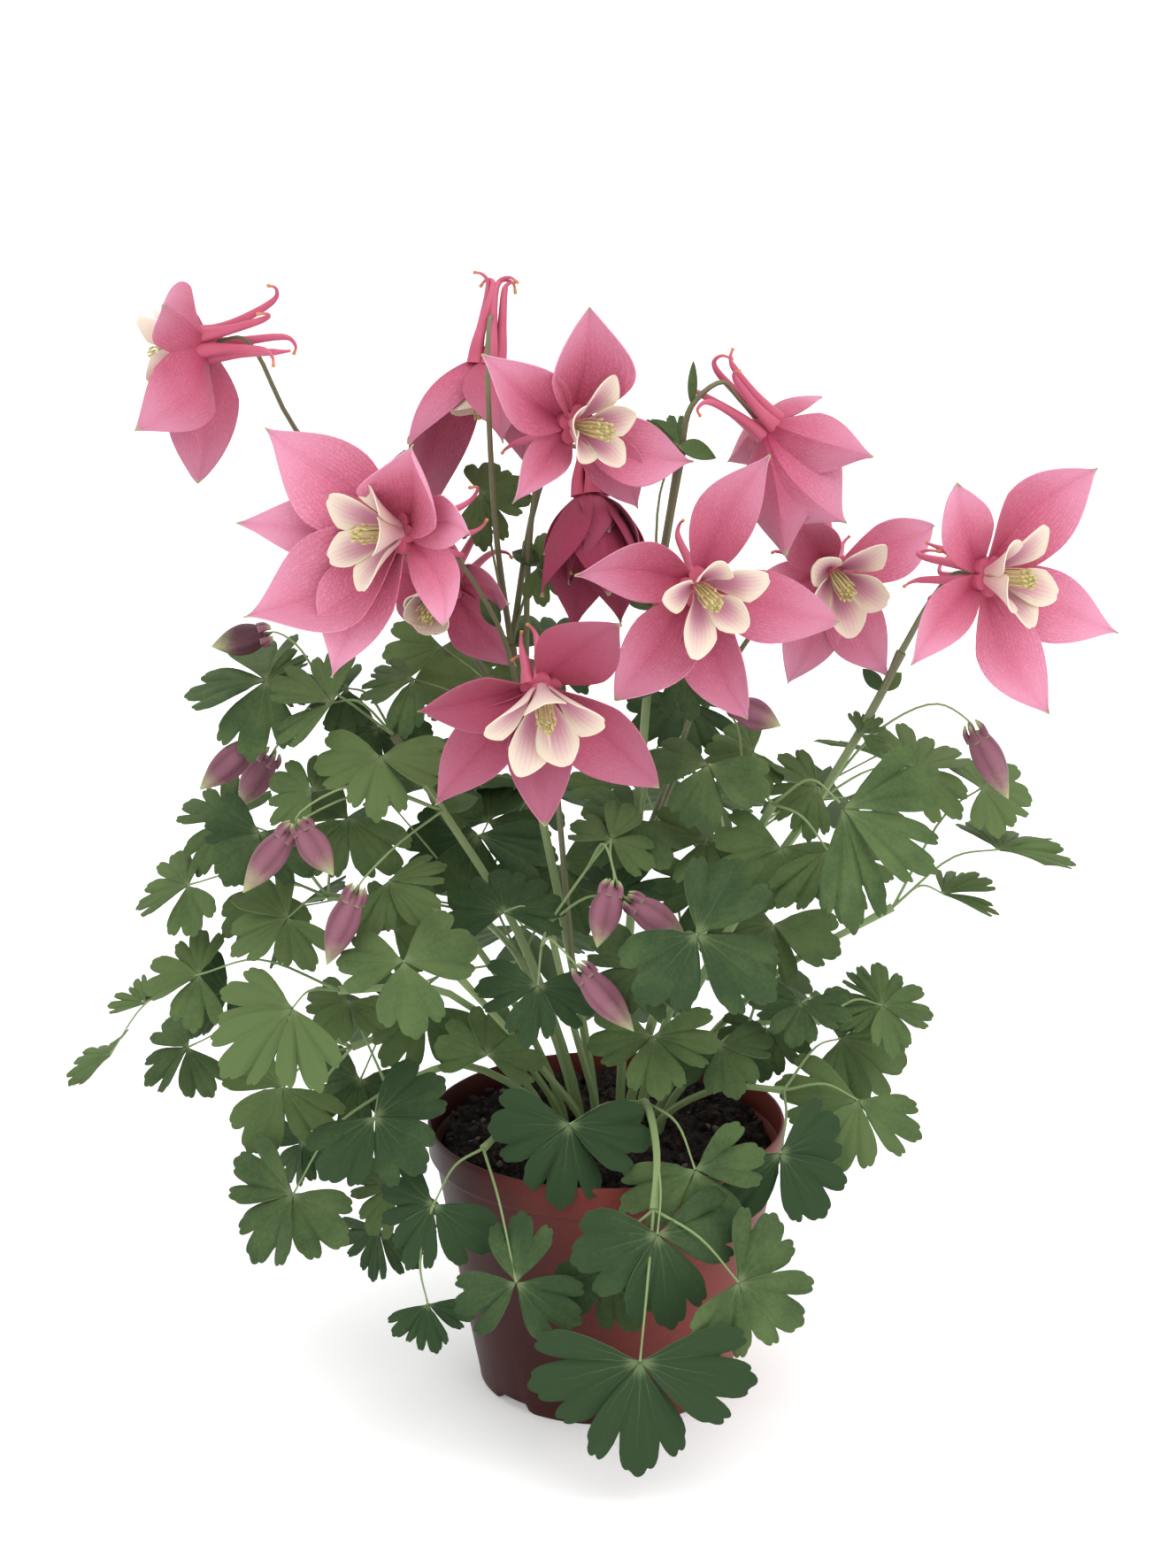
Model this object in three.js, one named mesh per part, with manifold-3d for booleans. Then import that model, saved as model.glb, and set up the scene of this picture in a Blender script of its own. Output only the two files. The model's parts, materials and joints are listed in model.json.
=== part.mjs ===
// A potted columbine in flower, built as it grows: pot, soil, forked leafy stems, blooms and buds.
// Millimetres, +Z up, the viewer at -Y, the origin under the middle of the pot.
import * as THREE from "three";
import { mergeGeometries, mergeVertices } from "three/addons/utils/BufferGeometryUtils.js";
import Module from "manifold-3d";

const wasm = await Module();
wasm.setup();

// ---- Driving dimensions ----

const POT = {
  height: 83,
  rimRadius: 53.5,
  footRadius: 38.2,
  bandHeight: 11,
  bandStep: 2.2,
  wall: 1.3,
  floor: 1.6,
  sides: 20,
  notches: 6,
  notchWidth: 11,
  notchHeight: 3,
};
// The soil's top: `rings` are shares of its radius where it can rise and fall, `dome` its fall
// towards the edge, `slope` its rise towards the back, `lump` the height of its lumps.
const SOIL = {
  edge: 75,
  heap: 80,
  rings: [0.8, 0.45],
  dome: 4,
  slope: 0.05,
  lump: 1.6,
  gap: 0.35,
  sides: 20,
};
// Stems stand straight between these heights, in plain holes with a little play.
const FOOT = { low: 62, high: 83, play: 0.8 };

// A leaf is thickest at its hub, `thick` on either side of it.
const LEAF = { thick: 0.9, droop: 0.22, fold: 0.16 };
// Half of one leaflet's outline, for a length of 1: the side lobe's teeth, the cut, the middle
// lobe's tooth. `upTo` is the longest leaflet that has this outline.
const LEAFLETS = [
  { upTo: 20, half: [[0.49, 0.72], [0.22, 0.95]] },
  { upTo: 22, half: [[0.49, 0.68], [0.26, 0.85], [0.15, 1.0]] },
  { upTo: 99, half: [[0.51, 0.6], [0.45, 0.88], [0.25, 0.82], [0.16, 1.0]] },
];
const FULL_SPREAD = 92;
const HUB_RADIUS = 0.09;

const BLOOM = {
  core: 3.2,
  coreDepth: 5,
  join: 0.3,
  neck: 8,
  sepalWidth: 0.235,
  sepalThick: 1.3,
  sepalHollow: 0.25,
  sepalTwist: -8,
  petals: 5,
  petal: 21.5,
  petalThick: 1,
  petalSpread: 42,
  notch: 0.2,
  spur: 26,
  spurRadius: 1.7,
  stamenTips: 6,
  stamenRadius: 3.4,
  stamenLength: 12,
};
// The share of a sepal's length that is its claw.
const CLAW = 0.4;
// A spur's path as [distance from the bloom's axis, share of its length behind the core].
const SPUR = [[1.4, 0.04], [4.6, 0.35], [7.5, 0.8], [5.2, 1]];
// Half of one petal's outline as [degrees from its middle, share of its length].
const PETAL = [[30, 0.62], [16, 1.0]];
const BUD = {
  radius: 4.6,
  neck: 3,
  sides: 5,
  // Shares of the radius and of the length, from base to tip.
  profile: [[0, 0], [0.8, 0.15], [1, 0.45], [0.6, 0.8], [0, 1]],
};
const STALK = { stem: 1.5, petiole: 1.3, branch: 0.5, thread: 0.45 };

// ---- Where everything grows, read from the plant by hand ----

// Leaf groups: [x, y, z, leaflet length, roll, turn, tilt, spread]. Roll is the way the middle
// leaflet points, clockwise from up; turn and tilt aim the face, 0, 0 being level at the viewer.
// Stalks: [radius, point, point, ...], the first one rising from the soil.
const GREENS = {
  fronds_front: {
    stalks: [
      [STALK.petiole, [6, -18], [11, -36, 103], [14, -58, 96], [13, -70, 84]],
      [STALK.branch, [13, -70, 84], [11, -84, 66], [9, -92, 47]],
      [STALK.branch, [13, -70, 84], [26, -76, 78], [37, -80, 66]],
      [STALK.branch, [13, -70, 84], [6, -72, 78], [1, -71, 66]],
      [STALK.branch, [14, -58, 96], [15, -68, 88], [14, -76, 79]],
      [STALK.branch, [11, -36, 103], [0, -42, 105], [-11, -46, 100]],
      [STALK.branch, [11, -36, 103], [20, -50, 102], [25, -60, 92]],
    ],
    leaves: [
      [9, -92, 47, 34, 180, 0, 22, 78],
      [37, -80, 66, 24, 125, 15, 25],
      [1, -71, 66, 19, 160, 0, 25],
      [14, -76, 79, 25, 170, 5, 30],
      [-11, -46, 100, 25, 185, -5, 32],
      [25, -60, 92, 23, 165, 10, 38],
    ],
  },
  frond_front_left: {
    stalks: [
      [STALK.petiole, [-8, -16], [-24, -28, 96], [-36, -40, 90]],
      [STALK.branch, [-36, -40, 90], [-31, -64, 84], [-26, -78, 65]],
      [STALK.branch, [-36, -40, 90], [-44, -48, 88], [-50, -55, 79]],
      [STALK.branch, [-50, -55, 79], [-54, -58, 62], [-52, -56, 48]],
    ],
    leaves: [
      [-26, -78, 65, 21, 0, -10, 20, 120],
      [-50, -55, 79, 20, 200, -20, 38],
      [-52, -56, 48, 14, 160, -20, 20, 60],
    ],
  },
  frond_left_low: {
    stalks: [
      [STALK.petiole, [-14, -9], [-42, -20, 108], [-64, -26, 103]],
      [STALK.branch, [-64, -26, 103], [-66, -38, 106], [-67, -45, 102]],
      [STALK.branch, [-64, -26, 103], [-80, -30, 92], [-92, -32, 72]],
      [STALK.branch, [-64, -26, 103], [-68, -14, 80], [-68, -12, 52]],
      [STALK.branch, [-68, -14, 80], [-65, -24, 80], [-62, -32, 75]],
      [STALK.branch, [-64, -26, 103], [-71, -18, 116], [-76, -12, 125]],
    ],
    leaves: [
      [-67, -45, 102, 23, 130, -15, 45],
      [-92, -32, 72, 24, 205, -25, 35],
      [-68, -12, 52, 17, 185, -30, 20, 60],
      [-62, -32, 75, 18, 205, -20, 25, 70],
      [-76, -12, 125, 15, 200, -10, 40],
    ],
  },
  frond_left_back: {
    stalks: [
      [STALK.petiole, [-18, 2], [-48, 6, 112], [-76, 4, 104]],
      [STALK.branch, [-76, 4, 104], [-88, -6, 104], [-96, -10, 97]],
      [STALK.branch, [-76, 4, 104], [-104, 12, 110], [-126, 14, 100]],
      [STALK.branch, [-76, 4, 104], [-86, 12, 88], [-92, 16, 68]],
      [STALK.branch, [-76, 4, 104], [-96, 2, 118], [-112, 0, 123]],
      [STALK.branch, [-48, 6, 112], [-52, 2, 118], [-54, -2, 119]],
    ],
    leaves: [
      [-96, -10, 97, 20, 205, -20, 45],
      [-126, 14, 100, 17, 215, -35, 45],
      [-92, 16, 68, 14, 200, -35, 30],
      [-112, 0, 123, 17, 205, -30, 45],
      [-54, -2, 119, 20, 215, -5, 42],
    ],
  },
  frond_left_mid: {
    stalks: [
      [STALK.petiole, [-13, -3], [-46, -14, 128], [-78, -24, 133]],
      [STALK.branch, [-78, -24, 133], [-86, -38, 138], [-90, -46, 136]],
      [STALK.branch, [-78, -24, 133], [-102, -12, 138], [-120, -6, 131]],
      [STALK.thread, [-120, -6, 131], [-136, -6, 122], [-147, -7, 106]],
    ],
    leaves: [
      [-90, -46, 136, 27, 217, -20, 48, 68],
      [-120, -6, 131, 18, 245, -30, 55],
      [-136, -6, 122, 13, 300, -40, 55, 50],
      [-147, -7, 106, 15, 245, -50, 62, 60],
    ],
  },
  frond_left_high: {
    stalks: [
      [STALK.petiole, [-13, 6], [-48, 4, 146], [-82, -2, 154]],
      [STALK.branch, [-82, -2, 154], [-88, -10, 155], [-93, -15, 152]],
      [STALK.branch, [-82, -2, 154], [-104, 4, 160], [-124, 8, 154]],
      [STALK.branch, [-82, -2, 154], [-98, 12, 168], [-113, 18, 171]],
      [STALK.branch, [-82, -2, 154], [-92, -8, 170], [-101, -11, 177]],
      [STALK.branch, [-82, -2, 154], [-80, -6, 170], [-75, -10, 181]],
      [STALK.branch, [-82, -2, 154], [-92, 8, 154], [-101, 14, 150]],
    ],
    leaves: [
      [-93, -15, 152, 20, 225, -20, 50],
      [-124, 8, 154, 18, 235, -30, 52],
      [-113, 18, 171, 18, 285, -25, 55],
      [-101, -11, 177, 19, 200, -15, 45],
      [-75, -10, 181, 20, 215, -10, 45],
      [-101, 14, 150, 19, 225, -20, 45],
    ],
  },
  frond_centre_left: {
    stalks: [
      [STALK.petiole, [-6, -11], [-20, -20, 108], [-43, -26, 138]],
      [STALK.branch, [-43, -26, 138], [-52, -38, 150], [-58, -48, 151]],
      [STALK.branch, [-20, -20, 108], [-27, -24, 114], [-35, -27, 114]],
      [STALK.branch, [-43, -26, 138], [-54, -26, 156], [-63, -25, 167]],
    ],
    leaves: [
      [-58, -48, 151, 21, 165, -10, 45, 105],
      [-35, -27, 114, 17, 5, -10, 42],
      [-63, -25, 167, 18, 125, -10, 50, 65],
    ],
  },
  stem_left: {
    stalks: [
      [STALK.stem, [-8, 5], [-26, 4, 140], [-48, 0, 180], [-62, 0, 203]],
      [STALK.branch, [-62, 0, 203], [-82, 4, 216], [-99, 6, 218]],
      [STALK.branch, [-62, 0, 203], [-72, -8, 216], [-79, -13, 217]],
      [STALK.branch, [-48, 0, 180], [-58, -12, 198], [-65, -20, 203]],
      [STALK.branch, [-62, 0, 203], [-70, 6, 214], [-76, 8, 215]],
      [STALK.branch, [-48, 0, 180], [-68, -10, 191], [-85, -18, 192]],
      [STALK.branch, [-62, 0, 203], [-66, 6, 204], [-67, 10, 202]],
    ],
    leaves: [
      [-99, 6, 218, 26, 252, -20, 60, 80],
      [-99, 6, 218, 15, 75, -20, 60, 40],
      [-79, -13, 217, 20, 285, -15, 48, 60],
      [-76, 8, 215, 14, 255, -10, 50],
      [-85, -18, 192, 16, 290, -15, 50],
      [-67, 10, 202, 19, 200, -10, 45],
      [-65, -20, 203, 20, 175, -10, 45],
    ],
    buds: {
      bud_1: [[-82, 4, 216], [-90, 2, 230]],
      bud_2: [[-82, 4, 216], [-94, -1, 213]],
      bud_3: [[-82, 4, 216], [-92, 9, 203]],
      bud_4: [[-48, 0, 180], [-68, -18, 192]],
      bud_5: [[-48, 0, 180], [-74, -26, 196]],
      bud_6: [[-48, 0, 180], [-62, -30, 178]],
    },
  },
  frond_centre: {
    stalks: [
      [STALK.petiole, [-2, -6], [-10, -12, 118], [-17, -14, 150]],
      [STALK.branch, [-17, -14, 150], [-24, -16, 156], [-30, -18, 155]],
      [STALK.branch, [-17, -14, 150], [-19, -28, 148], [-20, -36, 139]],
      [STALK.branch, [-17, -14, 150], [-6, -18, 168], [1, -20, 178]],
      [STALK.branch, [-6, -18, 168], [2, -14, 178], [8, -10, 181]],
      [STALK.branch, [-17, -14, 150], [-6, -14, 158], [2, -12, 158]],
    ],
    leaves: [
      [-30, -18, 155, 18, 350, -5, 50],
      [-20, -36, 139, 18, 190, 0, 45],
      [1, -20, 178, 14, 30, 5, 50],
      [8, -10, 181, 17, 230, 0, 45],
      [2, -12, 158, 15, 40, 0, 45, 70],
    ],
    buds: {
      bud_7: [[-6, -18, 168], [-1, -36, 182]],
      bud_8: [[1, -20, 178], [1, -36, 177]],
      bud_9: [[-19, -28, 148], [-16, -44, 156]],
    },
  },
  frond_centre_right: {
    stalks: [
      [STALK.petiole, [5, -11], [10, -20, 110], [16, -28, 138]],
      [STALK.branch, [16, -28, 138], [22, -44, 158], [25, -56, 162]],
      [STALK.branch, [16, -28, 138], [13, -38, 148], [10, -44, 148]],
      [STALK.branch, [10, -20, 110], [13, -26, 120], [13, -30, 121]],
    ],
    leaves: [
      [25, -56, 162, 27, 130, 10, 42, 95],
      [10, -44, 148, 18, 220, 0, 45],
      [13, -30, 121, 20, 180, 5, 50],
    ],
  },
  frond_right_low: {
    stalks: [
      [STALK.petiole, [14, -9], [34, -18, 100], [52, -20, 100]],
      [STALK.branch, [52, -20, 100], [64, -20, 102], [74, -18, 96]],
      [STALK.branch, [52, -20, 100], [62, -6, 108], [70, 6, 106]],
      [STALK.branch, [52, -20, 100], [52, -36, 98], [50, -46, 91]],
      [STALK.branch, [34, -18, 100], [34, -20, 112], [33, -20, 114]],
    ],
    leaves: [
      [74, -18, 96, 23, 210, 20, 42],
      [70, 6, 106, 23, 110, 25, 45],
      [50, -46, 91, 24, 155, 25, 25],
      [33, -20, 114, 17, 170, 5, 50],
    ],
  },
  frond_right_mid: {
    stalks: [
      [STALK.petiole, [17, 0], [42, 0, 112], [64, -2, 115]],
      [STALK.branch, [64, -2, 115], [74, 2, 120], [82, 5, 117]],
      [STALK.branch, [64, -2, 115], [60, -12, 126], [57, -16, 126]],
      [STALK.branch, [42, 0, 112], [46, 4, 112], [48, 6, 109]],
      [STALK.branch, [42, 0, 112], [48, 10, 128], [50, 15, 139]],
    ],
    leaves: [
      [82, 5, 117, 18, 110, 30, 50],
      [82, 5, 117, 16, 300, 30, 50, 45],
      [57, -16, 126, 15, 200, 10, 50],
      [48, 6, 109, 15, 190, 10, 50],
      [50, 15, 139, 21, 200, 10, 45],
    ],
  },
  frond_right_high: {
    stalks: [
      [STALK.petiole, [9, -4], [26, -8, 140], [48, -12, 186]],
      [STALK.branch, [48, -12, 186], [58, -32, 200], [65, -46, 198]],
      [STALK.branch, [26, -8, 140], [40, -16, 172], [50, -22, 176]],
      [STALK.branch, [48, -12, 186], [38, -14, 197], [29, -15, 199]],
      [STALK.branch, [48, -12, 186], [56, -24, 186], [63, -30, 178]],
      [STALK.branch, [26, -8, 140], [28, -8, 164], [29, -6, 173]],
    ],
    leaves: [
      [66, -46, 196, 33, 124, 12, 40, 56],
      [63, -30, 178, 22, 170, 10, 40, 60],
      [50, -22, 176, 20, 200, 5, 45],
      [29, -15, 199, 20, 200, 0, 45],
      [29, -6, 173, 19, 195, 0, 45],
    ],
  },
  frond_right_back: {
    stalks: [
      [STALK.petiole, [16, 8], [50, 16, 122], [86, 22, 142]],
      [STALK.branch, [86, 22, 142], [104, 22, 158], [117, 20, 161]],
      [STALK.branch, [86, 22, 142], [95, 30, 146], [102, 34, 142]],
      [STALK.branch, [86, 22, 142], [102, 28, 170], [112, 27, 178]],
    ],
    leaves: [
      [117, 20, 161, 25, 60, 20, 70, 50],
      [102, 34, 142, 18, 80, 20, 68, 45],
      [112, 27, 178, 17, 95, 20, 60],
    ],
  },
  fronds_back_left: {
    stalks: [
      [STALK.petiole, [-10, 14], [-26, 40, 118], [-40, 62, 126]],
      [STALK.branch, [-40, 62, 126], [-54, 72, 134], [-62, 82, 128]],
      [STALK.branch, [-40, 62, 126], [-34, 84, 122], [-26, 98, 108]],
      [STALK.branch, [-26, 40, 118], [-52, 46, 150], [-66, 50, 166]],
      [STALK.branch, [-40, 62, 126], [-30, 68, 150], [-22, 70, 164]],
      [STALK.branch, [-26, 40, 118], [-52, 58, 106], [-72, 66, 92]],
      [STALK.branch, [-40, 62, 126], [-72, 54, 134], [-94, 50, 132]],
      [STALK.branch, [-26, 40, 118], [-36, 46, 140], [-39, 48, 156]],
      [STALK.branch, [-26, 40, 118], [-18, 46, 134], [-14, 48, 146]],
      [STALK.branch, [-36, 46, 140], [-46, 38, 162], [-55, 34, 176]],
      [STALK.branch, [-40, 62, 126], [-40, 67, 144], [-36, 64, 155]],
      [STALK.branch, [-40, 62, 126], [-54, 54, 132], [-65, 44, 127]],
      [STALK.branch, [-52, 58, 106], [-66, 44, 98], [-75, 30, 83]],
    ],
    leaves: [
      [-62, 82, 128, 22, 200, -150, 50],
      [-26, 98, 108, 24, 180, 180, 42],
      [-66, 50, 166, 20, 250, -110, 55],
      [-22, 70, 164, 22, 180, 175, 48],
      [-72, 66, 92, 22, 190, -140, 40],
      [-94, 50, 132, 20, 200, -110, 50],
      [-39, 48, 156, 24, 190, 0, 40],
      [-14, 48, 146, 22, 160, 5, 40],
      [-55, 34, 176, 20, 20, -5, 35],
      [-36, 64, 155, 18, 20, 0, 35],
      [-65, 44, 127, 18, 30, -10, 35],
      [-75, 30, 83, 18, 190, -20, 30],
    ],
  },
  fronds_back_right: {
    stalks: [
      [STALK.petiole, [8, 15], [24, 42, 124], [38, 60, 146]],
      [STALK.branch, [38, 60, 146], [34, 78, 158], [28, 92, 154]],
      [STALK.branch, [38, 60, 146], [58, 66, 160], [74, 72, 160]],
      [STALK.branch, [24, 42, 124], [44, 68, 116], [52, 84, 96]],
      [STALK.branch, [24, 42, 124], [18, 52, 152], [8, 58, 178]],
      [STALK.branch, [38, 60, 146], [66, 48, 172], [82, 46, 182]],
      [STALK.branch, [24, 42, 124], [12, 74, 112], [6, 92, 88]],
      [STALK.branch, [24, 42, 124], [30, 40, 136], [32, 38, 144]],
    ],
    leaves: [
      [28, 92, 154, 24, 180, 175, 45],
      [74, 72, 160, 22, 160, 130, 50],
      [52, 84, 96, 22, 175, 150, 35],
      [8, 58, 178, 20, 180, 170, 50],
      [82, 46, 182, 20, 140, 110, 55],
      [6, 92, 88, 20, 180, 180, 35],
      [32, 38, 144, 22, 180, 5, 40],
    ],
  },
  stem_right: {
    stalks: [
      [STALK.stem, [10, 4], [36, 6, 140], [62, 4, 182], [79, 2, 214], [85, 1, 228]],
      [STALK.branch, [62, 4, 182], [78, 14, 188], [92, 24, 185]],
      [STALK.branch, [62, 4, 182], [62, 2, 186], [61, -2, 188]],
      [STALK.branch, [36, 6, 140], [40, 8, 180], [43, 10, 195]],
    ],
    leaves: [
      [92, 24, 185, 20, 60, 15, 58],
      [61, -2, 188, 17, 260, 5, 50, 65],
      [43, 10, 195, 16, 255, 5, 55],
      [73.5, -2, 204, 9, 60, 10, 50, 60],
    ],
    blooms: { bloom_9: [[85, 1, 228], [93, -1, 244]] },
    buds: {
      bud_10: [[62, 4, 182], [80, 4, 204], [96, 2, 212]],
      bud_11: [[40, 8, 180], [38, 6, 204], [32, 2, 214]],
    },
  },
  stem_centre_right: {
    stalks: [
      [STALK.stem, [4, 2], [8, 4, 160], [14, 4, 240], [21, 8, 286]],
      [STALK.branch, [14, 4, 240], [19, 6, 230], [21, 3, 223]],
      [STALK.branch, [14, 4, 240], [15, 5, 274], [20, 5, 288]],
      [STALK.branch, [8, 4, 160], [14, 20, 190], [23, 28, 205]],
      [STALK.branch, [8, 4, 160], [6, 8, 176], [4, 10, 184]],
    ],
    leaves: [
      [20, 5, 288, 14, 300, 0, 45, 50],
      [23, 28, 205, 20, 150, 10, 50],
      [4, 10, 184, 17, 285, 0, 50],
      [21, 3, 223, 17, 170, 5, 45],
    ],
    blooms: {
      bloom_7: [[21, 8, 286], [24, 9, 299], [33, 13, 305]],
      bloom_6: [[8, 4, 160], [26, 0, 215], [29, -12, 240]],
      bloom_8: [[8, 4, 160], [36, 36, 212]],
    },
  },
  stems_centre: {
    stalks: [
      [STALK.stem, [-3, 0], [-10, 2, 130], [-24, 12, 200], [-28, 15, 226]],
      [STALK.branch, [-24, 12, 200], [-32, 8, 214], [-36, 4, 219]],
      [STALK.branch, [-24, 12, 200], [-45, 4, 215], [-56, -6, 222]],
      [STALK.branch, [-24, 12, 200], [-18, 20, 216], [-17, 24, 223]],
      [STALK.branch, [-28, 15, 226], [-23, 13, 244], [-20, 10, 251]],
      [STALK.branch, [-28, 15, 226], [-34, 20, 256], [-37, 22, 270]],
      [STALK.branch, [-24, 12, 200], [-37, 31, 211], [-49, 43, 217]],
    ],
    leaves: [
      [-36, 4, 219, 20, 180, -5, 50],
      [-56, -6, 222, 16, 240, -10, 55, 60],
      [-17, 24, 223, 18, 60, 5, 55],
      [-20, 10, 251, 13, 90, 0, 45],
      [-37, 22, 270, 16, 90, -5, 50],
      [-49, 43, 217, 20, 180, -5, 30],
    ],
    blooms: {
      bloom_1: [[-24, 12, 200], [-60, 42, 246], [-90, 18, 290]],
      bloom_2: [[-24, 12, 200], [-31, -8, 238]],
      bloom_3: [[-28, 15, 226], [-32, 6, 262], [-34, 3, 304], [-34, 14, 320]],
      bloom_4: [[-24, 12, 200], [-22, 10, 264]],
      bloom_5: [[-28, 15, 226], [-20, 14, 272], [-13, 13, 286]],
      bloom_10: [[-10, 2, 130], [-17, -8, 214]],
      bloom_11: [[-24, 12, 200], [-36, 26, 238]],
    },
  },
};

// Blooms: `at` the core, `face` the turn and tilt of the open side, and sepals as
// [angle clockwise from up, length, lift towards the open side, twist, width, bulge], the angle,
// the lift and the twist in degrees. `petals` is the angle of the first of five petals. Where the bloom is
// shut its stamens are one body with the petals.
const BLOOMS = {
  bloom_1: {
    at: [-113, 0, 319],
    face: [-105, -12],
    petals: 36,
    shut: true,
    sepals: [
      [118, 36, 22, 35, 1.2], [184, 42, 19, 45, 1.1], [54, 30, 5, -30, 1.3], [285, 30, 40],
      [236, 33, 25],
    ],
  },
  bloom_2: {
    at: [-57, -30, 272],
    face: [-45, 10],
    petals: 12,
    sepals: [
      [300, 50, 25, 18, 1.05], [264, 49, 32, 5, 0.85], [229, 52, 30, -10, 1.1], [195, 46, 15, -25],
      [35, 40, 30, 35, 1.2], [124, 38, 15, -30, 0.75], [80, 34, 12, 0, 0.9],
    ],
  },
  bloom_3: {
    at: [-35, 32, 308],
    face: [-20, -68],
    petals: 36,
    shut: true,
    spread: 22,
    sepals: [[250, 48, 74, 0, 1.1, 18], [305, 35, 55], [38, 34, 55], [100, 33, 55], [165, 37, 50]],
  },
  bloom_4: {
    at: [-10, -10, 298],
    face: [32, 5],
    petals: 10,
    sepals: [
      [0, 37, 18, -18, 1.3], [308, 37, 8, -8], [112, 39, 10], [140, 35, -6, 25, 0.9],
      [240, 33, 22, 35, 0.75],
    ],
  },
  bloom_5: {
    at: [-5, 6, 275],
    face: [8, -62],
    petals: 0,
    shut: true,
    spread: 8,
    sepals: [
      [90, 40, 69, 0, 1.3], [197, 40, 69, 0, 1.3], [284, 36, 62, 0, 1.3], [10, 36, 68, 0, 1.1],
      [150, 40, 69, 0, 1.1],
    ],
  },
  bloom_6: {
    at: [25, -30, 257],
    face: [12, -5],
    petals: -10,
    sepals: [
      [26, 42, 5, -20, 0.85], [283, 38, 16, 15, 0.9], [219, 40, 10, 15, 1.05], [160, 42, 10, 15, 0.85],
      [106, 42, 10],
    ],
  },
  bloom_7: {
    at: [45, 16, 292],
    face: [110, -45],
    petals: 0,
    shut: true,
    spread: 30,
    sepals: [
      [293, 36, 31, 20], [255, 39, 48, -5, 1.5], [218, 39, 38, -25, 1.3], [122, 25, 23, -40],
      [45, 33, 30],
    ],
  },
  bloom_8: {
    at: [66, 24, 246],
    face: [15, -10],
    petals: 28,
    sepals: [
      [76, 36, -10, -15], [152, 38, 10], [200, 36, 10, 12], [262, 30, 10, 15], [322, 33, 15],
    ],
  },
  bloom_9: {
    at: [107, -10, 254],
    face: [45, 8],
    petals: 38,
    sepals: [
      [54, 46, 20, -20], [325, 39, 18, -35, 0.85], [246, 41, 8, 28, 0.7], [164, 45, 12, 25, 0.9],
      [122, 47, 22, 15, 0.9],
    ],
  },
  bloom_10: {
    at: [-19, -45, 232],
    face: [8, -32],
    petals: 0,
    sepals: [
      [268, 36, 10, 35, 0.85], [222, 47, 18, 40, 0.75], [178, 42, 28, 0, 0.9], [130, 47, 22, -15, 0.9],
      [33, 36, 8, -20, 1.3],
    ],
  },
  bloom_11: {
    at: [-47, 14, 245],
    face: [-20, -20],
    petals: 36,
    shut: true,
    spread: 16,
    sepals: [[75, 33, 30, -15], [130, 32, 20, -15], [212, 34, -15, 0], [285, 32, 10, 15], [5, 32, 15]],
  },
};

// Buds: the base and the tip of each.
const BUDS = {
  bud_1: [[-99, 2, 233], [-114, 0, 230]],
  bud_2: [[-103, -5, 202], [-118, -7, 189]],
  bud_3: [[-99, 10, 193], [-108, 10, 178]],
  bud_4: [[-91, -32, 184], [-104, -34, 167]],
  bud_5: [[-87, -36, 187], [-78, -42, 175]],
  bud_6: [[-72, -40, 168], [-80, -42, 148]],
  bud_7: [[1, -48, 173], [-3, -52, 157]],
  bud_8: [[7, -46, 168], [22, -48, 158]],
  bud_9: [[-7, -52, 149], [7, -58, 134]],
  bud_10: [[107, 0, 204], [117, 0, 184]],
  bud_11: [[37, 0, 212], [50, -3, 207]],
};

const COLOURS = {
  pot: [0x8a4a44, 0.5],
  soil: [0x2a211b, 1],
  leaf: [0x3f6b45, 0.7],
  sepal: [0xd65f7f, 0.7],
  petal: [0xf3e6bd, 0.7],
  stamen: [0xc9b23f, 0.8],
  bud: [0x8d4a5c, 0.7],
};

// ---- Solids ----

const radians = THREE.MathUtils.degToRad;
const vector = (p) => new THREE.Vector3(...p);

// Moves each corner of a closed three.js geometry and returns it as a manifold-3d solid.
function solid(geometry, move) {
  const bare = geometry.clone();
  bare.deleteAttribute("normal");
  bare.deleteAttribute("uv");
  const corners = bare.getAttribute("position");
  const corner = new THREE.Vector3();
  for (let i = 0; i < corners.count && move; i++) {
    corner.fromBufferAttribute(corners, i);
    const moved = move(corner);
    corners.setXYZ(i, moved.x, moved.y, moved.z);
  }
  const welded = mergeVertices(bare, 1e-4);
  const faces = [];
  for (let i = 0; i < welded.index.count; i += 3) {
    const [a, b, c] = welded.index.array.slice(i, i + 3);
    if (a !== b && b !== c && c !== a) faces.push(a, b, c);
  }
  const shape = { numProp: 3, vertProperties: welded.attributes.position.array };
  return new wasm.Manifold(new wasm.Mesh({ ...shape, triVerts: new Uint32Array(faces) }));
}

const join = (solids) => solids.reduce((all, one) => all.add(one));

// The frame of a flower or leaf: x to its right, y up it, z the way it faces.
function facing(at, turn, tilt, roll = 0) {
  const level = Math.cos(radians(tilt));
  const face = new THREE.Vector3(Math.sin(radians(turn)) * level, -Math.cos(radians(turn)) * level);
  face.z = Math.sin(radians(tilt));
  const up = new THREE.Vector3(0, 0, 1).addScaledVector(face, -face.z).normalize();
  const right = new THREE.Vector3().crossVectors(up, face);
  const frame = new THREE.Matrix4().makeBasis(right, up, face).setPosition(...at);
  return frame.multiply(new THREE.Matrix4().makeRotationZ(-radians(roll)));
}

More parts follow.
